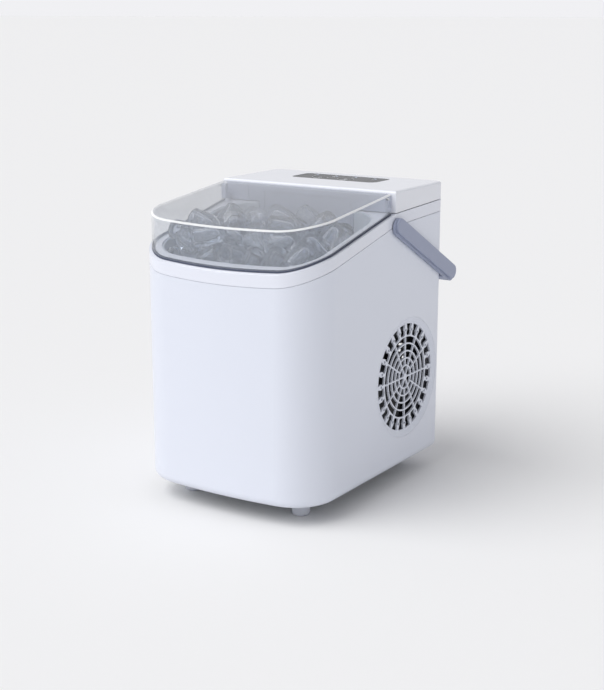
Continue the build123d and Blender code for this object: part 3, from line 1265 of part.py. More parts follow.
strap_angle = degrees(atan2(strap_z, strap_y))
strap_middle = ((HANDLE_HEAD[0] + HANDLE_TAIL[0]) / 2, (HANDLE_HEAD[1] + HANDLE_TAIL[1]) / 2)
STRAP_STEP = 2.4                        # the outer skin is narrower along its lower edge
skin_middle = (strap_middle[0] - STRAP_STEP / 2 * strap_z, strap_middle[1] + STRAP_STEP / 2 * strap_y)
GRIP_START = BODY_BACK + 1.0
PIN_REACH = HANDLE_INNER + 2.2

with BuildPart() as handle:
    with BuildSketch(Plane.YZ.offset(HANDLE_INNER)):
        with Locations(strap_middle):
            SlotCenterToCenter(strap_length, HANDLE_WIDTH, rotation=strap_angle)
    extrude(amount=(HANDLE_OUTER - HANDLE_INNER) / 2)
    with BuildSketch(Plane.YZ.offset((HANDLE_INNER + HANDLE_OUTER) / 2)):
        with Locations(skin_middle):
            SlotCenterToCenter(strap_length, HANDLE_WIDTH - STRAP_STEP, rotation=strap_angle)
    extrude(amount=(HANDLE_OUTER - HANDLE_INNER) / 2)
    fillet(handle.faces().sort_by(Axis.X)[-1].edges(), 1.0)
    mirror(about=Plane.YZ)
    with BuildSketch(Plane.YZ):
        with Locations(strap_middle):
            SlotCenterToCenter(strap_length, HANDLE_WIDTH, rotation=strap_angle)
        with Locations((GRIP_START - 100, TOP / 2)):
            Rectangle(200, 2 * TOP, mode=Mode.SUBTRACT)
    extrude(amount=HANDLE_INNER, both=True)
    with BuildSketch(Plane.YZ):
        with Locations(HANDLE_PIVOT):
            Circle(PIVOT_PIN_RADIUS)
    extrude(amount=PIN_REACH, both=True, mode=Mode.SUBTRACT)
handle.part.label = "handle"
export_step(handle.part, "parts/handle.step")

PIN_HEAD_X = HALF_WIDTH - WALL - 4.0
with BuildPart() as handle_pins:
    with BuildSketch(Plane.YZ.offset(PIN_HEAD_X)):
        with Locations(HANDLE_PIVOT):
            Circle(PIVOT_PIN_RADIUS)
    extrude(amount=PIN_REACH - PIN_HEAD_X)
    with BuildSketch(Plane.YZ.offset(PIN_HEAD_X)):
        with Locations(HANDLE_PIVOT):
            Circle(PIVOT_PIN_RADIUS + 1.6)
    extrude(amount=-1.6)
    mirror(about=Plane.YZ)
handle_pins.part.label = "handle_pins"
export_step(handle_pins.part, "parts/handle_pins.step")

with BuildPart() as handle_bushes:
    with BuildSketch(Plane.YZ.offset(PIN_HEAD_X + 0.3)):
        with Locations(HANDLE_PIVOT):
            Circle(BUSH_RADIUS + 2)
            Circle(PIVOT_PIN_RADIUS + RUNNING, mode=Mode.SUBTRACT)
    extrude(amount=HALF_WIDTH - WALL - PIN_HEAD_X - 0.3)
    with BuildSketch(Plane.YZ.offset(HALF_WIDTH - WALL)):
        with Locations(HANDLE_PIVOT):
            Circle(BUSH_RADIUS - RUNNING)
            Circle(PIVOT_PIN_RADIUS + RUNNING, mode=Mode.SUBTRACT)
    extrude(amount=WALL)
    mirror(about=Plane.YZ)
handle_bushes.part.label = "handle_bushes"
export_step(handle_bushes.part, "parts/handle_bushes.step")
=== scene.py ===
from math import cos, pi, radians, sin

import bpy
import numpy as np
from bpy.props import FloatProperty, FloatVectorProperty, IntProperty, PointerProperty
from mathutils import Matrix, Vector


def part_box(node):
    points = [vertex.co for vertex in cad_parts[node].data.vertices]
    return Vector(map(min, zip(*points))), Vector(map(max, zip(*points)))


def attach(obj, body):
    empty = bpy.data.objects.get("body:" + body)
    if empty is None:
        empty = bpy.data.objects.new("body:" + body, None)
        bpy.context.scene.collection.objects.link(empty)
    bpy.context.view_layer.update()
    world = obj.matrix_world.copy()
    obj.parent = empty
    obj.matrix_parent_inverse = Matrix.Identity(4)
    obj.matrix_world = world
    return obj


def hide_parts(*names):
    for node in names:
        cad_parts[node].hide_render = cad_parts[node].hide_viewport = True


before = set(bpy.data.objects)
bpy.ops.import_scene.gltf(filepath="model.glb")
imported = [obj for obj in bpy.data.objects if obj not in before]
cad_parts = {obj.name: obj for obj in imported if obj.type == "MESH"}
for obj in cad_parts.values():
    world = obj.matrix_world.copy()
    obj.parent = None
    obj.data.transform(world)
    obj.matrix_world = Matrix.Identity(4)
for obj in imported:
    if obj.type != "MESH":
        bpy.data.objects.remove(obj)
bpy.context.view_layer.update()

bl_info = {
    "name": "Countertop ice maker",
    "version": (1, 0, 0),
    "blender": (4, 5, 0),
    "location": "3D View > Sidebar > Ice maker",
    "description": "Finishes the ice maker: mouldings, clear lid, ice, panel icons, cooling parts, studio",
    "category": "Object",
}

MM = 0.001


# ---------------------------------------------------------------- colour and node helpers


def linear(code):
    """Linear red, green and blue of an sRGB hex colour such as "#E6E9F1"."""
    channels = [int(code[i:i + 2], 16) / 255 for i in (1, 3, 5)]
    return tuple(c / 12.92 if c <= 0.04045 else ((c + 0.055) / 1.055) ** 2.4 for c in channels)


def opaque(colour):
    """The colour with full alpha, as a node socket takes it."""
    return (*colour[:3], 1.0)


def shade(colour, factor):
    """The colour made lighter or darker."""
    return tuple(min(1.0, channel * factor) for channel in colour[:3])


def per_metre(size_mm):
    """Texture scale that gives a pattern of this size."""
    return 1 / (size_mm * MM)


def add_node(tree, kind, inputs=None, **settings):
    """Adds a node, sets its settings, and fills its inputs with values or with other nodes' outputs."""
    node = tree.nodes.new(kind)
    for name, value in settings.items():
        setattr(node, name, value)
    for key, value in (inputs or {}).items():
        socket = node.inputs[key]
        if isinstance(value, bpy.types.NodeSocket):
            tree.links.new(value, socket)
        else:
            socket.default_value = value
    return node


# Sockets of the Mix node when it mixes colours
MIX_FACTOR, MIX_FIRST, MIX_SECOND, MIX_RESULT = 0, 6, 7, 2


def blank_material(name):
    """A new material with an empty node tree: (material, tree)."""
    material = bpy.data.materials.new(name)
    material.use_nodes = True
    material.node_tree.nodes.clear()
    return material, material.node_tree


def moulded(name, colour, roughness, grain_mm, grain_depth_mm, tone=0.03, cloud_mm=45.0, gloss_spread=0.03,
            edge_mm=0.5, stretch=(1, 1, 1), **shader):
    """A surface with fine relief, a slow drift of tone and gloss, and softened edges.

    grain_mm and grain_depth_mm are the relief's size and height, tone is how far the colour drifts over
    cloud_mm, and stretch draws the relief out along an axis, as brushing or drawing a metal does."""
    material, tree = blank_material(name)
    place = add_node(tree, "ShaderNodeTexCoord").outputs["Object"]
    drawn = add_node(tree, "ShaderNodeMapping", {"Vector": place, "Scale": stretch}).outputs["Vector"]
    grain = add_node(tree, "ShaderNodeTexNoise", {
        "Vector": drawn, "Scale": per_metre(grain_mm), "Detail": 2.0})
    cloud = add_node(tree, "ShaderNodeTexNoise", {
        "Vector": place, "Scale": per_metre(cloud_mm), "Detail": 3.0})
    hue = add_node(tree, "ShaderNodeMix", {
        MIX_FACTOR: cloud.outputs["Fac"],
        MIX_FIRST: opaque(shade(colour, 1 - tone)),
        MIX_SECOND: opaque(shade(colour, 1 + tone)),
    }, data_type="RGBA")
    gloss = add_node(tree, "ShaderNodeMapRange", {
        "Value": cloud.outputs["Fac"],
        "From Min": 0.2,
        "From Max": 0.8,
        "To Min": max(0.02, roughness - gloss_spread),
        "To Max": roughness + gloss_spread,
    })
    edges = add_node(tree, "ShaderNodeBevel", {"Radius": edge_mm * MM}, samples=3)
    relief = add_node(tree, "ShaderNodeBump", {
        "Height": grain.outputs["Fac"],
        "Distance": grain_depth_mm * MM,
        "Normal": edges.outputs["Normal"],
    })
    body = add_node(tree, "ShaderNodeBsdfPrincipled", {
        "Base Color": hue.outputs[MIX_RESULT],
        "Roughness": gloss.outputs["Result"],
        "Normal": relief.outputs["Normal"],
        **{key.replace("_", " "): value for key, value in shader.items()},
    })
    add_node(tree, "ShaderNodeOutputMaterial", {"Surface": body.outputs["BSDF"]})
    return material


def finish_nodes(material, *names):
    """Gives CAD nodes this material on every slot."""
    for name in names:
        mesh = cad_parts[name].data
        mesh.materials.clear()
        mesh.materials.append(material)


def smooth_object(name, vertices, faces, material):
    """A smooth-shaded mesh object in the scene."""
    mesh = bpy.data.meshes.new(name)
    mesh.from_pydata([tuple(v) for v in vertices], [], faces)
    mesh.shade_smooth()
    mesh.materials.append(material)
    piece = bpy.data.objects.new(name, mesh)
    bpy.context.scene.collection.objects.link(piece)
    return piece


# ---------------------------------------------------------------- settings


class IceMakerSizes(bpy.types.PropertyGroup):
    """Sizes that a user may change."""

    bullet_radius: FloatProperty(
        name="Bullet radius", description="Outer radius of an ice bullet",
        default=11.2 * MM, unit="LENGTH", subtype="DISTANCE")
    bullet_length: FloatProperty(
        name="Bullet length", description="Length of an ice bullet over its round end",
        default=31.0 * MM, unit="LENGTH", subtype="DISTANCE")
    bullet_count: IntProperty(
        name="Bullets", description="Number of bullets in the basket", default=130, min=1)
    icon_size: FloatProperty(
        name="Icon size", description="Width of an icon on the touch panel",
        default=4.4 * MM, unit="LENGTH", subtype="DISTANCE")
    floor_width: FloatProperty(
        name="Floor width", description="Width of the studio floor", default=200.0, unit="LENGTH",
        subtype="DISTANCE")


class IceMakerColours(bpy.types.PropertyGroup):
    """Colours that a user may change."""

    casing: FloatVectorProperty(
        name="Casing", description="Main moulding", subtype="COLOR", default=linear("#DDE1EC"))
    collar: FloatVectorProperty(
        name="Collar", description="Band round the top of the casing", subtype="COLOR",
        default=linear("#E2E5EF"))
    cover: FloatVectorProperty(
        name="Top cover", description="Rear cover round the panel", subtype="COLOR",
        default=linear("#E9EBF2"))
    guard: FloatVectorProperty(
        name="Splash guard", description="Wall behind the ice", subtype="COLOR", default=linear("#AEB4C8"))
    liner: FloatVectorProperty(
        name="Liner", description="Bin liner and basket", subtype="COLOR", default=linear("#C3C8D4"))
    handle: FloatVectorProperty(
        name="Handle", description="Carrying handle", subtype="COLOR", default=linear("#989FB6"))
    lid: FloatVectorProperty(
        name="Lid tint", description="Tint of the clear lid", subtype="COLOR", default=linear("#C9D2E0"))
    floor: FloatVectorProperty(
        name="Studio floor", description="Floor and backdrop", subtype="COLOR", default=linear("#F2F2F2"))


# ---------------------------------------------------------------- casing


class ICEMAKER_OT_casing(bpy.types.Operator):
    """Finishes the glossy white mouldings that are seen from outside"""

    bl_idname = "ice_maker.casing"
    bl_label = "Finish casing"

    def execute(self, context):
        colours = context.scene.ice_maker_colours
        # ABS, injection moulded in a polished tool: soft wide reflections with a faint orange peel
        # The peel is really about 0.8 mm; it is drawn at 2.5 mm, because finer relief wouldn't show
        shell = moulded("abs_polished_mould", colours.casing, 0.3, 2.5, 0.008, tone=0.006, gloss_spread=0.012,
                        Coat_Weight=0.25, Coat_Roughness=0.15)
        finish_nodes(shell, "outer_shell", "rear_panel")
        # The same ABS from a finer tool: the band and cover are a shade whiter and a little glossier
        band = moulded("abs_band_mould", colours.collar, 0.26, 2.5, 0.008, tone=0.006, gloss_spread=0.012,
                       Coat_Weight=0.3, Coat_Roughness=0.12)
        finish_nodes(band, "collar")
        cover = moulded("abs_cover_mould", colours.cover, 0.24, 2.5, 0.008, tone=0.006, gloss_spread=0.012,
                        Coat_Weight=0.3, Coat_Roughness=0.1)
        finish_nodes(cover, "top_cover")
        return {"FINISHED"}


class ICEMAKER_OT_grille(bpy.types.Operator):
    """Finishes the round side grille"""

    bl_idname = "ice_maker.grille"
    bl_label = "Finish side grille"

    def execute(self, context):
        colours = context.scene.ice_maker_colours
        # ABS from a spark-eroded tool: thin ribs with a satin grain that kills sharp highlights
        finish_nodes(moulded("abs_satin_mould", colours.casing, 0.42, 1.6, 0.02, edge_mm=0.3), "side_grille")
        return {"FINISHED"}


# ---------------------------------------------------------------- lid


RIM_SLOPE = 0.225
RIM_BEND = (-100 * MM, 260.4 * MM)          # where the rim starts to curve down, as (y, z)
RIM_ARC_RADIUS = 154.6 * MM
RIM_ARC_CENTRE = (-66.1 * MM, 109.5 * MM)
RIM_GAP = 0.4 * MM                          # between the rim and the shut lid
# Height of the painted shadow along the lid's lower rim
SEAM_SHADOW_DEPTH = 1.3 * MM


class ICEMAKER_OT_lid(bpy.types.Operator):
    """Makes the lid clear"""

    bl_idname = "ice_maker.lid"
    bl_label = "Finish lid"

    def execute(self, context):
        colours = context.scene.ice_maker_colours
        # Polycarbonate, injection moulded: a thin clear wall with a pale blue-grey tint, which mirrors the
        # studio at grazing angles; its rounded upper edge carries a painted highlight and its lower rim a
        # painted shadow
        material, tree = blank_material("polycarbonate_clear_mould")
        place = add_node(tree, "ShaderNodeTexCoord").outputs["Object"]
        flow = add_node(tree, "ShaderNodeTexNoise", {
            "Vector": place, "Scale": per_metre(30.0), "Detail": 2.0})
        ripple = add_node(tree, "ShaderNodeBump", {
            "Height": flow.outputs["Fac"], "Distance": 0.08 * MM, "Strength": 0.5})
        haze = add_node(tree, "ShaderNodeMapRange", {
            "Value": flow.outputs["Fac"], "To Min": 0.03, "To Max": 0.09})
        wall = add_node(tree, "ShaderNodeBsdfPrincipled", {
            "Base Color": opaque(colours.lid),
            "Roughness": haze.outputs["Result"],
            "IOR": 1.58,
            "Alpha": 0.17,
            "Normal": ripple.outputs["Normal"],
        })
        mirror = add_node(tree, "ShaderNodeBsdfAnisotropic", {
            "Color": opaque(linear("#FFFFFF")), "Roughness": 0.06, "Normal": ripple.outputs["Normal"]})
        # Facing is used because both faces of a thin wall reflect alike: faint head-on, strong at the edges
        facing = add_node(tree, "ShaderNodeLayerWeight", {"Normal": ripple.outputs["Normal"]})
        steep = add_node(tree, "ShaderNodeMath", {0: facing.outputs["Facing"], 1: 4.0}, operation="POWER")
        grazing = add_node(tree, "ShaderNodeMapRange", {
            "Value": steep.outputs["Value"], "To Min": 0.03, "To Max": 0.6})
        both = add_node(tree, "ShaderNodeMixShader", {
            0: grazing.outputs["Result"], 1: wall.outputs["BSDF"], 2: mirror.outputs["BSDF"]})
        # Painted highlight: the rounded upper edge, which faces between level and up, is painted white with a
        # diffuse shader
        upward = add_node(tree, "ShaderNodeSeparateXYZ", {
            "Vector": add_node(tree, "ShaderNodeNewGeometry").outputs["Normal"]}).outputs["Z"]
        painted_highlight_edge = add_node(tree, "ShaderNodeMath", {0: upward, 1: 0.58, 2: 0.3}, operation="COMPARE")
        painted_highlight_share = add_node(tree, "ShaderNodeMath", {0: painted_highlight_edge.outputs["Value"], 1: 0.7},
                              operation="MULTIPLY")
        # Plain white diffuse, the colour of the painted highlight on the upper edge
        glow = add_node(tree, "ShaderNodeBsdfDiffuse", {"Color": opaque(linear("#FFFFFF"))})
        with_painted_highlight = add_node(tree, "ShaderNodeMixShader", {
            0: painted_highlight_share.outputs["Value"], 1: both.outputs["Shader"], 2: glow.outputs["BSDF"]})
        # Painted shadow: the lowest millimetre of the lid is painted dark grey with a diffuse shader, and
        # shows as a dark line above the collar where the seam lies in shade
        painted_seam_shadow_band = add_node(tree, "ShaderNodeMath", {0: self.height_above_rim(tree, place), 1: SEAM_SHADOW_DEPTH},
                           operation="LESS_THAN")
        # Dark grey diffuse, the colour of the painted seam shadow
        dark = add_node(tree, "ShaderNodeBsdfDiffuse", {"Color": opaque(linear("#565B6C"))})
        finished = add_node(tree, "ShaderNodeMixShader", {
            0: painted_seam_shadow_band.outputs["Value"], 1: with_painted_highlight.outputs["Shader"], 2: dark.outputs["BSDF"]})
        add_node(tree, "ShaderNodeOutputMaterial", {"Surface": finished.outputs["Shader"]})
        finish_nodes(material, "lid")
        return {"FINISHED"}

    def height_above_rim(self, tree, place):
        """Height of a point above the rim, which slopes and then curves down towards the front."""
        parts = add_node(tree, "ShaderNodeSeparateXYZ", {"Vector": place})
        bend_z = RIM_BEND[1] + RIM_GAP
        ahead = add_node(tree, "ShaderNodeMath", {0: parts.outputs["Y"], 1: RIM_BEND[0]},
                         operation="SUBTRACT")
        rise = add_node(tree, "ShaderNodeMath", {
            0: ahead.outputs["Value"], 1: RIM_SLOPE, 2: bend_z}, operation="MULTIPLY_ADD")
        over_slope = add_node(tree, "ShaderNodeMath", {
            0: parts.outputs["Z"], 1: rise.outputs["Value"]}, operation="SUBTRACT")
        in_plane = add_node(tree, "ShaderNodeCombineXYZ", {"Y": parts.outputs["Y"], "Z": parts.outputs["Z"]})
        from_centre = add_node(tree, "ShaderNodeVectorMath", {
            0: in_plane.outputs["Vector"], 1: (0, *RIM_ARC_CENTRE)}, operation="DISTANCE")
        over_arc = add_node(tree, "ShaderNodeMath", {
            0: from_centre.outputs["Value"], 1: RIM_ARC_RADIUS + RIM_GAP}, operation="SUBTRACT")
        forward = add_node(tree, "ShaderNodeMath", {0: ahead.outputs["Value"], 1: 0.0}, operation="LESS_THAN")
        height = add_node(tree, "ShaderNodeMix", {
            0: forward.outputs["Value"], 2: over_slope.outputs["Value"], 3: over_arc.outputs["Value"]})
        return height.outputs[0]


# ---------------------------------------------------------------- ice bay


class ICEMAKER_OT_bay(bpy.types.Operator):
    """Finishes the liner, basket, splash guard and sensors round the ice"""

    bl_idname = "ice_maker.bay"
    bl_label = "Finish ice bay"

    def execute(self, context):
        colours = context.scene.ice_maker_colours
        # Polypropylene, injection moulded: waxy and soft, with no hard highlight
        liner = moulded("polypropylene_mould", colours.liner, 0.42, 2.0, 0.02, Subsurface_Weight=0.08)
        finish_nodes(liner, "bin_liner", "ice_basket", "ice_chamber")
        # ABS, moulded smooth: the blue-grey wall behind the ice, with a soft sheen
        finish_nodes(moulded("abs_guard_mould", colours.guard, 0.3, 3.0, 0.015), "splash_guard")
        # Acetal, moulded: the black windows of the two level sensors
        sensors = moulded("acetal_black_mould", linear("#22252C"), 0.22, 1.5, 0.01)
        finish_nodes(sensors, "ice_level_sensors", "water_level_sensor")
        return {"FINISHED"}


# ---------------------------------------------------------------- ice

LID_WALL = 2.2 * MM
LIFT_ROOM = 6.5 * MM                # the basket lifts a little under the closed lid
LID_BEND_Y = -100 * MM
LID_SLOPE = 0.117
LID_FALL = 21 * MM                  # how far the lid's front edge curves down over the next stretch
LID_FALL_LENGTH = 50 * MM
LID_CROWN = 1.2 * MM
BIN_BOW = 530 * MM                  # radius of the bin's bowed front
BIN_CORNER = 26 * MM
BASKET_INSET = 2.5 * MM             # the basket's wall and a little room for the ice to stay off it
POUR_HEIGHT = 180 * MM
FALL_PER_STEP = 0.5 * MM
MOTION_KEPT = 0.6                   # share of a step's motion that carries on into the next
PUSH_SHARE = 0.42                   # share of an overlap that each ball takes up in one pass
PASSES = 6


def lid_underside(y):
    """Height of the lid's inner face above a depth y."""
    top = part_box("lid")[1].z - LID_CROWN
    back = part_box("lid")[1].y
    ahead = np.maximum(0.0, LID_BEND_Y - y)
    return top - LID_SLOPE * (back - y) - ahead**2 * LID_FALL / LID_FALL_LENGTH**2 - LID_WALL


def push_inside_bin(point, radius, half_width, front, back, floor):
    """Keeps ball centres inside the basket's walls, round corners and floor, and under the lid."""
    half = half_width - radius
    point[:, 0] = np.clip(point[:, 0], -half, half)
    bowed_front = front + radius + point[:, 0] ** 2 / (2 * BIN_BOW)
    point[:, 1] = np.clip(point[:, 1], bowed_front, back - radius)
    corner = BIN_CORNER - radius
    for end, sign in ((front + radius, -1), (back - radius, 1)):
        across = np.abs(point[:, 0]) - (half - corner)
        along = sign * (point[:, 1] - end) + corner
        reach = np.hypot(across, along)
        outside = (across > 0) & (along > 0) & (reach > corner)
        pull = corner / np.maximum(reach, 1e-9)
        side = np.sign(point[:, 0])
        point[:, 0] = np.where(outside, side * (half - corner + across * pull), point[:, 0])
        point[:, 1] = np.where(outside, end + sign * (along * pull - corner), point[:, 1])
    roof = lid_underside(point[:, 1]) - LIFT_ROOM - radius
    point[:, 2] = np.minimum(point[:, 2], roof)
    point[:, 2] = np.maximum(point[:, 2], floor + radius)


def settle_bullets(count, radius, length, steps):
    """Drops bullets into the basket and lets them push apart: their lower and upper ball centres."""
    basket_low, basket_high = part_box("ice_basket")
    half_width = basket_high.x - BASKET_INSET
    front = basket_low.y + BASKET_INSET
    back = basket_high.y - BASKET_INSET
    floor = basket_low.z + BASKET_INSET
    stick = length - 2 * radius
    chance = np.random.default_rng(11)
    middle = np.column_stack([
        chance.uniform(-half_width + radius, half_width - radius, count),
        chance.uniform(front + radius, back - radius, count),
        chance.uniform(floor + radius, floor + POUR_HEIGHT, count),
    ])
    turn = chance.normal(size=(count, 3))
    turn /= np.linalg.norm(turn, axis=1)[:, None]
    ends = np.concatenate([middle - turn * stick / 2, middle + turn * stick / 2])
    owner = np.tile(np.arange(count), 2)
    first, second = np.triu_indices(2 * count, 1)
    apart = owner[first] != owner[second]
    first, second = first[apart], second[apart]
    before = ends.copy()
    for _ in range(steps):
        drift = (ends - before) * MOTION_KEPT
        before = ends.copy()
        ends = ends + drift
        ends[:, 2] -= FALL_PER_STEP
        for _ in range(PASSES):
            gap = ends[second] - ends[first]
            distance = np.maximum(np.linalg.norm(gap, axis=1), 1e-6)
            touching = distance < 2 * radius
            push = (2 * radius - distance[touching]) * PUSH_SHARE
            way = gap[touching] / distance[touching][:, None] * push[:, None]
            np.add.at(ends, first[touching], -way)
            np.add.at(ends, second[touching], way)
            line = ends[count:] - ends[:count]
            span = np.maximum(np.linalg.norm(line, axis=1), 1e-6)
            fix = line * ((span - stick) / span / 2)[:, None]
            ends[:count] += fix
            ends[count:] -= fix
            push_inside_bin(ends, radius, half_width, front, back, floor)
    return ends[:count], ends[count:]


def bullet_profile(radius, length):
    """Outline of a hollow bullet, up the outside and down the hollow: (distance from axis, height)."""
    dome = radius * 0.82
    rim = radius * 0.14
    hollow = radius * 0.5
    outside = [(radius * 0.93 - rim, 0), (radius * 0.93 - rim * 0.3, rim * 0.25), (radius * 0.93, rim)]
    outside += [(radius, length * 0.35), (radius * 0.99, length - dome * 1.1)]
    outside += [(radius * 0.99 * cos(a), length - dome + dome * sin(a)) for a in (0.3, 0.65, 1.0, 1.3)]
    inside = [(hollow * 0.8 * sin(a), length * 0.62 + hollow * cos(a)) for a in (0.5, 1.1)]
    inside += [(hollow * 0.86, length * 0.5), (hollow, length * 0.2), (hollow * 1.15, rim * 0.4)]
    return outside, length, inside, length * 0.62 + hollow


def bullet_mesh(radius, length, wobble, chance, sides=20):
    """Points and faces of one bullet, its mouth at the origin, made slightly uneven as frozen water is."""
    outside, tip, inside, roof = bullet_profile(radius, length)
    rings = outside + [None] + inside
    points = []
    faces = []
    starts = []
    lobes = chance.uniform(-1, 1, (len(rings), 3))
    for index, ring in enumerate(rings):
        starts.append(len(points))
        if ring is None:
            points.append((0, 0, tip))
            points.append((0, 0, roof))
            continue
        for side in range(sides):
            angle = 2 * pi * side / sides
            two_lobes, three_lobes, swell = lobes[index]
            uneven = two_lobes * cos(2 * angle) + three_lobes * sin(3 * angle) + swell * 0.5
            reach = ring[0] * (1 + wobble * uneven)
            points.append((reach * cos(angle), reach * sin(angle), ring[1]))
    poles = starts[len(outside)]

    def band(low, high):
        for side in range(sides):
            after = (side + 1) % sides
            faces.append((low + side, low + after, high + after, high + side))

    for index in range(len(outside) - 1):
        band(starts[index], starts[index + 1])
    last = starts[len(outside) - 1]
    first_inside = starts[len(outside) + 1]
    for side in range(sides):
        after = (side + 1) % sides
        faces.append((last + side, last + after, poles))
        faces.append((first_inside + after, first_inside + side, poles + 1))
    for index in range(len(outside) + 1, len(rings) - 1):
        band(starts[index], starts[index + 1])
    band(starts[-1], starts[0])
    return np.array(points), faces


SHRINK = 0.985                      # keeps neighbours that lean on each other just apart
UNEVENNESS = 0.018


class ICEMAKER_OT_ice(bpy.types.Operator):
    """Fills the basket with a tumbled heap of hollow ice bullets"""

    bl_idname = "ice_maker.ice"
    bl_label = "Fill basket with ice"

    def execute(self, context):
        sizes = context.scene.ice_maker_sizes
        steps = 110
        lower, upper = settle_bullets(sizes.bullet_count, sizes.bullet_radius, sizes.bullet_length, steps)
        chance = np.random.default_rng(5)
        points = []
        faces = []
        total = 0
        for low, high in zip(lower, upper):
            axis = Vector(high - low).normalized()
            shape, shape_faces = bullet_mesh(
                sizes.bullet_radius * SHRINK, sizes.bullet_length, UNEVENNESS, chance)
            turn = np.array(axis.to_track_quat("Z", "Y").to_matrix())
            mouth = low - np.array(axis) * sizes.bullet_radius
            points.append(shape @ turn.T + mouth)
            faces += [tuple(corner + total for corner in face) for face in shape_faces]
            total += len(shape)
        heap = smooth_object("ice_heap", np.concatenate(points), faces, self.ice_material())
        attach(heap, "basket")
        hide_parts("ice_bullets")
        return {"FINISHED"}

    def ice_material(self):
        # Water ice, frozen in layers round a cold finger: clear, with a milky core and a wet, wavy skin
        material, tree = blank_material("ice_frozen_layers")
        place = add_node(tree, "ShaderNodeTexCoord").outputs["Object"]
        waves = add_node(tree, "ShaderNodeTexNoise", {
            "Vector": place, "Scale": per_metre(9.0), "Detail": 2.0, "Distortion": 0.4})
        skin = add_node(tree, "ShaderNodeBump", {
            "Height": waves.outputs["Fac"], "Distance": 0.5 * MM, "Strength": 0.5})
        frost = add_node(tree, "ShaderNodeTexNoise", {
            "Vector": place, "Scale": per_metre(14.0), "Detail": 4.0})
        milk = add_node(tree, "ShaderNodeMapRange", {
            "Value": frost.outputs["Fac"], "From Min": 0.5, "From Max": 0.8, "To Min": 0.01, "To Max": 0.14})
        clear = add_node(tree, "ShaderNodeBsdfPrincipled", {
            "Base Color": opaque(linear("#EEF2F8")),
            "Roughness": milk.outputs["Result"],
            "IOR": 1.31,
            "Transmission Weight": 0.94,
            "Normal": skin.outputs["Normal"],
        })
        add_node(tree, "ShaderNodeOutputMaterial", {"Surface": clear.outputs["BSDF"]})
        return material


# ---------------------------------------------------------------- touch panel

# Icons are drawn as strokes on a square that runs from -1 to 1: each is a list of lines of points


def arc_points(radius, start, end, count):
    """Points on an arc about the middle, its angles in degrees."""
    steps = [radians(start + (end - start) * i / (count - 1)) for i in range(count)]
    return [(radius * cos(a), radius * sin(a)) for a in steps]


def icon_strokes(kind):
    """Strokes of a plain household icon."""
    if kind == "power":
        return [arc_points(0.85, 120, 420, 14), [(0, 0.25), (0, 1)]]
    if kind == "drop":
        return [[(0, 1)] + arc_points(0.62, 20, -200, 12) + [(0, 1)]]
    if kind == "cube":
        top = [(-0.8, 0.4), (0, 0.85), (0.8, 0.4), (0, -0.05), (-0.8, 0.4)]
        sides = [(-0.8, 0.4), (-0.8, -0.45), (0, -0.9), (0.8, -0.45), (0.8, 0.4)]
        return [top, sides, [(0, -0.05), (0, -0.9)]]
    if kind == "fan":
        return [arc_points(0.3, 0, 360, 9)] + [
            [(0.35 * cos(a), 0.35 * sin(a)), (0.9 * cos(a + 0.5), 0.9 * sin(a + 0.5))]
            for a in (0, pi / 2, pi, 3 * pi / 2)]
    return [[(-0.9, 0), (0.9, 0)]]


def stroke_mesh(strokes, centre, scale, width, low, high):
    """Flat-topped bars along strokes, as points and faces."""
    points = []
    faces = []
    for line in strokes:
        for start, end in zip(line, line[1:]):
            a = Vector((centre[0] + start[0] * scale, centre[1] + start[1] * scale, 0))
            b = Vector((centre[0] + end[0] * scale, centre[1] + end[1] * scale, 0))
            along = (b - a).normalized() * width / 2
            side = Vector((-along.y, along.x, 0))
            corners = [a - along - side, b + along - side, b + along + side, a - along + side]
            base = len(points)
            points += [(c.x, c.y, low) for c in corners] + [(c.x, c.y, high) for c in corners]
            faces.append((base + 4, base + 5, base + 6, base + 7))
            faces += [(base + i, base + (i + 1) % 4, base + 4 + (i + 1) % 4, base + 4 + i) for i in range(4)]
    return points, faces


REAR_ICON_ROW = 13.5 * MM           # from the panel's rear edge to the middle of the rear icons
STROKE_WIDTH = 0.55 * MM
INK_HEIGHT = 0.1 * MM


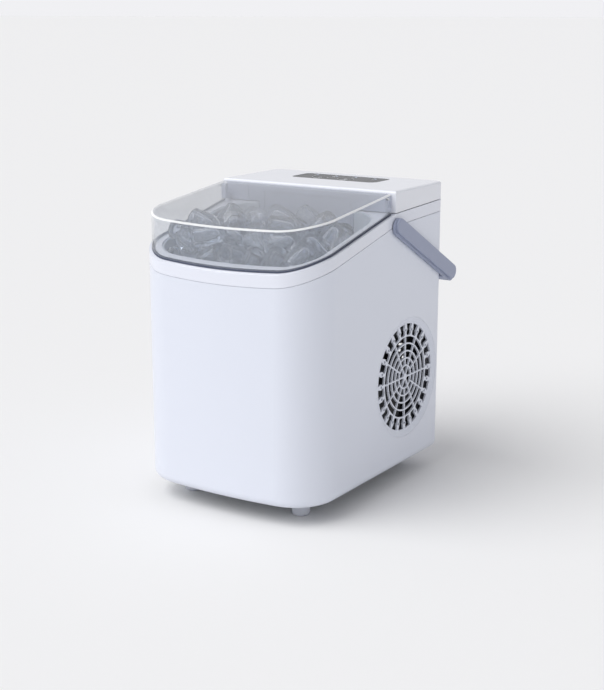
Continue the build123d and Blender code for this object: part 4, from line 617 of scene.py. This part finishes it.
class ICEMAKER_OT_touch_panel(bpy.types.Operator):
    """Finishes the touch panel and prints plain icons on it and on its keys"""

    bl_idname = "ice_maker.touch_panel"
    bl_label = "Finish touch panel"

    def execute(self, context):
        sizes = context.scene.ice_maker_sizes
        # Acrylic, back-printed black: deep and mirror-smooth, with the faintest waviness
        acrylic = moulded("acrylic_black_printed", linear("#171A21"), 0.16, 6.0, 0.008, tone=0.1,
                          gloss_spread=0.03, edge_mm=0.3, IOR=1.49, Specular_IOR_Level=0.04)
        finish_nodes(acrylic, "control_panel", "power_key", "select_key")
        # Polycarbonate light guides, moulded matt: they glow faintly white through the panel
        lens = moulded("polycarbonate_diffusing_mould", linear("#C9D4E6"), 0.4, 1.0, 0.01,
                       Emission_Color=opaque(linear("#BFD2F5")), Emission_Strength=0.25)
        finish_nodes(lens, "indicator_lenses")
        # Screen-printing ink: matt white strokes a tenth of a millimetre proud
        ink = moulded("ink_screen_printed", linear("#F4F6FA"), 0.5, 0.8, 0.01, edge_mm=0.05)
        panel_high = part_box("control_panel")[1]
        top = panel_high.z
        half = sizes.icon_size / 2
        rear = panel_high.y - REAR_ICON_ROW
        for body, key, kind in (("power_button", "power_key", "power"),
                                ("select_button", "select_key", "cube")):
            points, faces = [], []
            low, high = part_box(key)
            centre = ((low.x + high.x) / 2, (low.y + high.y) / 2)
            self.add_strokes(points, faces, icon_strokes(kind), centre, half, high.z)
            mark = smooth_object(body + "_icon", points, faces, ink)
            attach(mark, body)
        points, faces = [], []
        for x, kind in ((-36, "drop"), (-12, "cube"), (12, "fan"), (36, "drop")):
            self.add_strokes(points, faces, icon_strokes(kind), (x * MM, rear), half * 0.7, top)
        for key in ("power_key", "select_key"):
            low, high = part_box(key)
            for offset in (-1, 1):
                centre = ((low.x + high.x) / 2 + offset * 9.5 * MM, (low.y + high.y) / 2)
                self.add_strokes(points, faces, icon_strokes("bar"), centre, half * 0.3, top)
            foot = ((low.x + high.x) / 2, low.y - 1.6 * MM)
            self.add_strokes(points, faces, icon_strokes("bar"), foot, half * 1.9, top)
        marks = smooth_object("panel_icons", points, faces, ink)
        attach(marks, "casing")
        return {"FINISHED"}

    def add_strokes(self, points, faces, strokes, centre, half, top):
        """Adds an icon of printed strokes to a mesh in the making."""
        more_points, more_faces = stroke_mesh(
            strokes, centre, half, STROKE_WIDTH, top, top + INK_HEIGHT)
        base = len(points)
        points += more_points
        faces += [tuple(corner + base for corner in face) for face in more_faces]


# ---------------------------------------------------------------- handle


class ICEMAKER_OT_handle(bpy.types.Operator):
    """Finishes the carrying handle and its bushes"""

    bl_idname = "ice_maker.handle"
    bl_label = "Finish handle"

    def execute(self, context):
        colours = context.scene.ice_maker_colours
        # Glass-filled polypropylene, moulded in a satin tool: firm grey with a broad dull highlight
        finish_nodes(moulded("polypropylene_satin_mould", colours.handle, 0.38, 1.8, 0.02), "handle")
        # Nylon, moulded: dark dry bearings
        finish_nodes(moulded("nylon_black_mould", linear("#1B1D22"), 0.5, 1.5, 0.02), "handle_bushes")
        return {"FINISHED"}


# ---------------------------------------------------------------- cooling parts and machinery


class ICEMAKER_OT_cooling(bpy.types.Operator):
    """Finishes the compressor, condenser, pipes, evaporator and fan"""

    bl_idname = "ice_maker.cooling"
    bl_label = "Finish cooling parts"

    def execute(self, context):
        # Copper, drawn into tube: warm and bright, streaked along its length and slightly browned by handling
        copper = moulded("copper_drawn", linear("#C9825A"), 0.28, 3.0, 0.01, tone=0.14, cloud_mm=22,
                         gloss_spread=0.1, Metallic=1.0)
        finish_nodes(copper, "condenser_tube", "evaporator_tube", "suction_line", "discharge_line",
                     "liquid_line", "capillary_tube", "filter_drier", "evaporator_plate")
        # Aluminium, rolled into fin strip: pale and fairly bright, brushed across
        fins = moulded("aluminium_rolled_fins", linear("#D3D6DB"), 0.35, 1.2, 0.01, stretch=(1, 1, 0.15),
                       tone=0.08, Metallic=1.0)
        finish_nodes(fins, "condenser_fins")
        # Mild steel, stove-enamelled: thick glossy black with an orange peel
        enamel = moulded("steel_stove_enamelled", linear("#16171A"), 0.22, 3.0, 0.05, Coat_Weight=0.5,
                         Coat_Roughness=0.1)
        finish_nodes(enamel, "compressor")
        # Nickel-plated copper and stainless shafts: white metal with a fine turned grain
        nickel = moulded("nickel_plated_turned", linear("#C4C6CA"), 0.2, 1.0, 0.008, stretch=(1, 1, 4),
                         Metallic=1.0)
        finish_nodes(nickel, "evaporator_fingers", "tray_shaft", "lid_hinge_pins", "handle_pins",
                     "hot_gas_valve")
        # Nylon, moulded: the dull black of fan, pump and tray
        nylon = moulded("nylon_black_satin_mould", linear("#202228"), 0.45, 1.8, 0.03)
        finish_nodes(nylon, "fan_frame", "fan_rotor", "water_pump", "pump_impeller", "terminal_cover",
                     "water_tray", "ice_shovel")
        # Neoprene, moulded: matt black with a chalky bloom
        finish_nodes(moulded("neoprene_moulded", linear("#1A1A1B"), 0.75, 1.2, 0.04, tone=0.2),
                     "compressor_grommets", "wire_harness")
        # Silicone, extruded: milky hose
        finish_nodes(moulded("silicone_extruded", linear("#D5D8D6"), 0.35, 2.0, 0.01, Subsurface_Weight=0.3),
                     "pump_hose", "drain_hose")
        # Expanded polystyrene beads, steam-moulded: matt white with cells about 3 mm across
        foam = moulded("polystyrene_bead_moulded", linear("#F0F0EC"), 0.85, 3.0, 0.25, tone=0.03)
        finish_nodes(foam, "insulation_foam")
        # Glass-epoxy board, solder-masked: deep green under a thin gloss
        board = moulded("glass_epoxy_masked", linear("#174A2C"), 0.3, 1.2, 0.02, tone=0.25, cloud_mm=8)
        finish_nodes(board, "power_board", "control_board")
        return {"FINISHED"}


class ICEMAKER_OT_base(bpy.types.Operator):
    """Finishes the base pan, feet, fixings and the fittings at the back"""

    bl_idname = "ice_maker.base"
    bl_label = "Finish base and back"

    def execute(self, context):
        # Mild steel, hot-dip galvanised: grey with a spangle about 9 mm across
        zinc, tree = blank_material("steel_galvanised")
        place = add_node(tree, "ShaderNodeTexCoord").outputs["Object"]
        spangle = add_node(tree, "ShaderNodeTexVoronoi", {"Vector": place, "Scale": per_metre(9.0)})
        tone = add_node(tree, "ShaderNodeMix", {
            MIX_FACTOR: spangle.outputs["Color"],
            MIX_FIRST: opaque(linear("#9DA1A6")),
            MIX_SECOND: opaque(linear("#BDC1C5")),
        }, data_type="RGBA")
        dull = add_node(tree, "ShaderNodeMapRange", {
            "Value": spangle.outputs["Color"], "To Min": 0.3, "To Max": 0.5})
        sheet = add_node(tree, "ShaderNodeBsdfPrincipled", {
            "Base Color": tone.outputs[MIX_RESULT], "Roughness": dull.outputs["Result"], "Metallic": 1.0})
        add_node(tree, "ShaderNodeOutputMaterial", {"Surface": sheet.outputs["BSDF"]})
        finish_nodes(zinc, "base_pan", "compressor_bracket", "tray_motor", "fan_motor")
        # Steel screws, zinc-plated: small and bright
        screws = moulded("steel_zinc_plated", linear("#C2C4C8"), 0.25, 0.8, 0.01, edge_mm=0.2, Metallic=1.0)
        finish_nodes(screws, "foot_screws", "rear_screws", "compressor_bolts")
        # Thermoplastic rubber, moulded: pale grey, matt and slightly soft-looking
        feet = moulded("rubber_pale_moulded", linear("#C9CCD6"), 0.6, 1.5, 0.03, Subsurface_Weight=0.05)
        finish_nodes(feet, "rubber_feet", "drain_plug")
        # The same rubber in black, and a nylon spout
        black = moulded("rubber_black_moulded", linear("#202124"), 0.65, 1.2, 0.03)
        finish_nodes(black, "cord_gland", "drain_spout")
        return {"FINISHED"}


# ---------------------------------------------------------------- studio

CAMERA_AZIMUTH = radians(33.0)
CAMERA_ELEVATION = radians(13.9)
CAMERA_DISTANCE = 1.3937
CAMERA_TARGET = Vector((0.0121, -0.0100, 0.1466))
CAMERA_LENS = 70.43


class ICEMAKER_OT_studio(bpy.types.Operator):
    """Sets the floor, backdrop, soft light and camera"""

    bl_idname = "ice_maker.studio"
    bl_label = "Set studio"

    def execute(self, context):
        scene = context.scene
        scene.view_settings.view_transform = "Standard"
        self.add_floor(scene)
        self.add_light("key_light", (-0.52, -0.74, 1.0), 55.0, 2.0)
        self.add_room(scene)
        self.add_camera(scene)
        return {"FINISHED"}

    def add_floor(self, scene):
        """One wide pale sheet under the machine."""
        half = scene.ice_maker_sizes.floor_width / 2
        points = [(-half, -half, 0), (half, -half, 0), (half, half, 0), (-half, half, 0)]
        # Background paper, calendered: matt, with fibres drawn at 5 mm so that they show at all
        paper, tree = blank_material("paper_backdrop_matt")
        place = add_node(tree, "ShaderNodeTexCoord").outputs["Object"]
        fibre = add_node(tree, "ShaderNodeTexNoise", {"Vector": place, "Scale": per_metre(5.0)})
        relief = add_node(tree, "ShaderNodeBump", {"Height": fibre.outputs["Fac"], "Distance": 0.02 * MM})
        sheet = add_node(tree, "ShaderNodeBsdfPrincipled", {
            "Base Color": opaque(scene.ice_maker_colours.floor),
            "Roughness": 0.9,
            "Specular IOR Level": 0.05,
            "Normal": relief.outputs["Normal"],
        })
        add_node(tree, "ShaderNodeOutputMaterial", {"Surface": sheet.outputs["BSDF"]})
        smooth_object("studio_floor", points, [(0, 1, 2, 3)], paper)

    def add_light(self, name, direction, spread, strength):
        """A very broad far light, as a large softbox gives: direction points from the machine to it."""
        lamp = bpy.data.lights.new(name, "SUN")
        lamp.angle = radians(spread)
        lamp.energy = strength
        stand = bpy.data.objects.new(name, lamp)
        stand.rotation_euler = Vector(direction).to_track_quat("Z", "Y").to_euler()
        bpy.context.scene.collection.objects.link(stand)

    def add_room(self, scene):
        """A white room: bright near the floor, dimmer overhead."""
        world = bpy.data.worlds.new("studio_room")
        world.use_nodes = True
        tree = world.node_tree
        tree.nodes.clear()
        way = add_node(tree, "ShaderNodeTexCoord").outputs["Generated"]
        height = add_node(tree, "ShaderNodeSeparateXYZ", {"Vector": way}).outputs["Z"]
        glow = add_node(tree, "ShaderNodeMapRange", {
            "Value": height, "From Min": 0.05, "From Max": 0.35, "To Min": 0.9, "To Max": 0.5})
        walls = add_node(tree, "ShaderNodeBackground", {
            "Color": opaque(linear("#FCFCFF")), "Strength": glow.outputs["Result"]})
        add_node(tree, "ShaderNodeOutputWorld", {"Surface": walls.outputs["Background"]})
        scene.world = world

    def add_camera(self, scene):
        """The camera that looks down at the machine's front right corner."""
        back = Vector((
            sin(CAMERA_AZIMUTH) * cos(CAMERA_ELEVATION),
            -cos(CAMERA_AZIMUTH) * cos(CAMERA_ELEVATION),
            sin(CAMERA_ELEVATION),
        ))
        lens = bpy.data.cameras.new("camera")
        lens.lens = CAMERA_LENS
        lens.sensor_width = 36.0
        lens.clip_start = 0.05
        lens.clip_end = 500.0
        camera = bpy.data.objects.new("camera", lens)
        camera.location = CAMERA_TARGET + back * CAMERA_DISTANCE
        camera.rotation_euler = (-back).to_track_quat("-Z", "Y").to_euler()
        scene.collection.objects.link(camera)
        scene.camera = camera


# ---------------------------------------------------------------- panel and registration

STEPS = (
    ICEMAKER_OT_casing,
    ICEMAKER_OT_grille,
    ICEMAKER_OT_lid,
    ICEMAKER_OT_bay,
    ICEMAKER_OT_ice,
    ICEMAKER_OT_touch_panel,
    ICEMAKER_OT_handle,
    ICEMAKER_OT_cooling,
    ICEMAKER_OT_base,
    ICEMAKER_OT_studio,
)


class ICEMAKER_PT_build(bpy.types.Panel):
    """Lists the build's steps and settings"""

    bl_idname = "ICEMAKER_PT_build"
    bl_label = "Ice maker"
    bl_space_type = "VIEW_3D"
    bl_region_type = "UI"
    bl_category = "Ice maker"

    def draw(self, context):
        scene = context.scene
        for group in (scene.ice_maker_sizes, scene.ice_maker_colours):
            box = self.layout.box()
            for name in group.__annotations__:
                box.prop(group, name)
        for step in STEPS:
            self.layout.operator(step.bl_idname)


CLASSES = (IceMakerSizes, IceMakerColours, *STEPS, ICEMAKER_PT_build)


def register():
    for kind in CLASSES:
        bpy.utils.register_class(kind)
    bpy.types.Scene.ice_maker_sizes = PointerProperty(type=IceMakerSizes)
    bpy.types.Scene.ice_maker_colours = PointerProperty(type=IceMakerColours)


def unregister():
    del bpy.types.Scene.ice_maker_colours
    del bpy.types.Scene.ice_maker_sizes
    for kind in reversed(CLASSES):
        bpy.utils.unregister_class(kind)


def main():
    """Registers the add-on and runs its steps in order."""
    register()
    for step in STEPS:
        group, action = step.bl_idname.split(".")
        getattr(getattr(bpy.ops, group), action)()


if __name__ == "__main__":
    main()
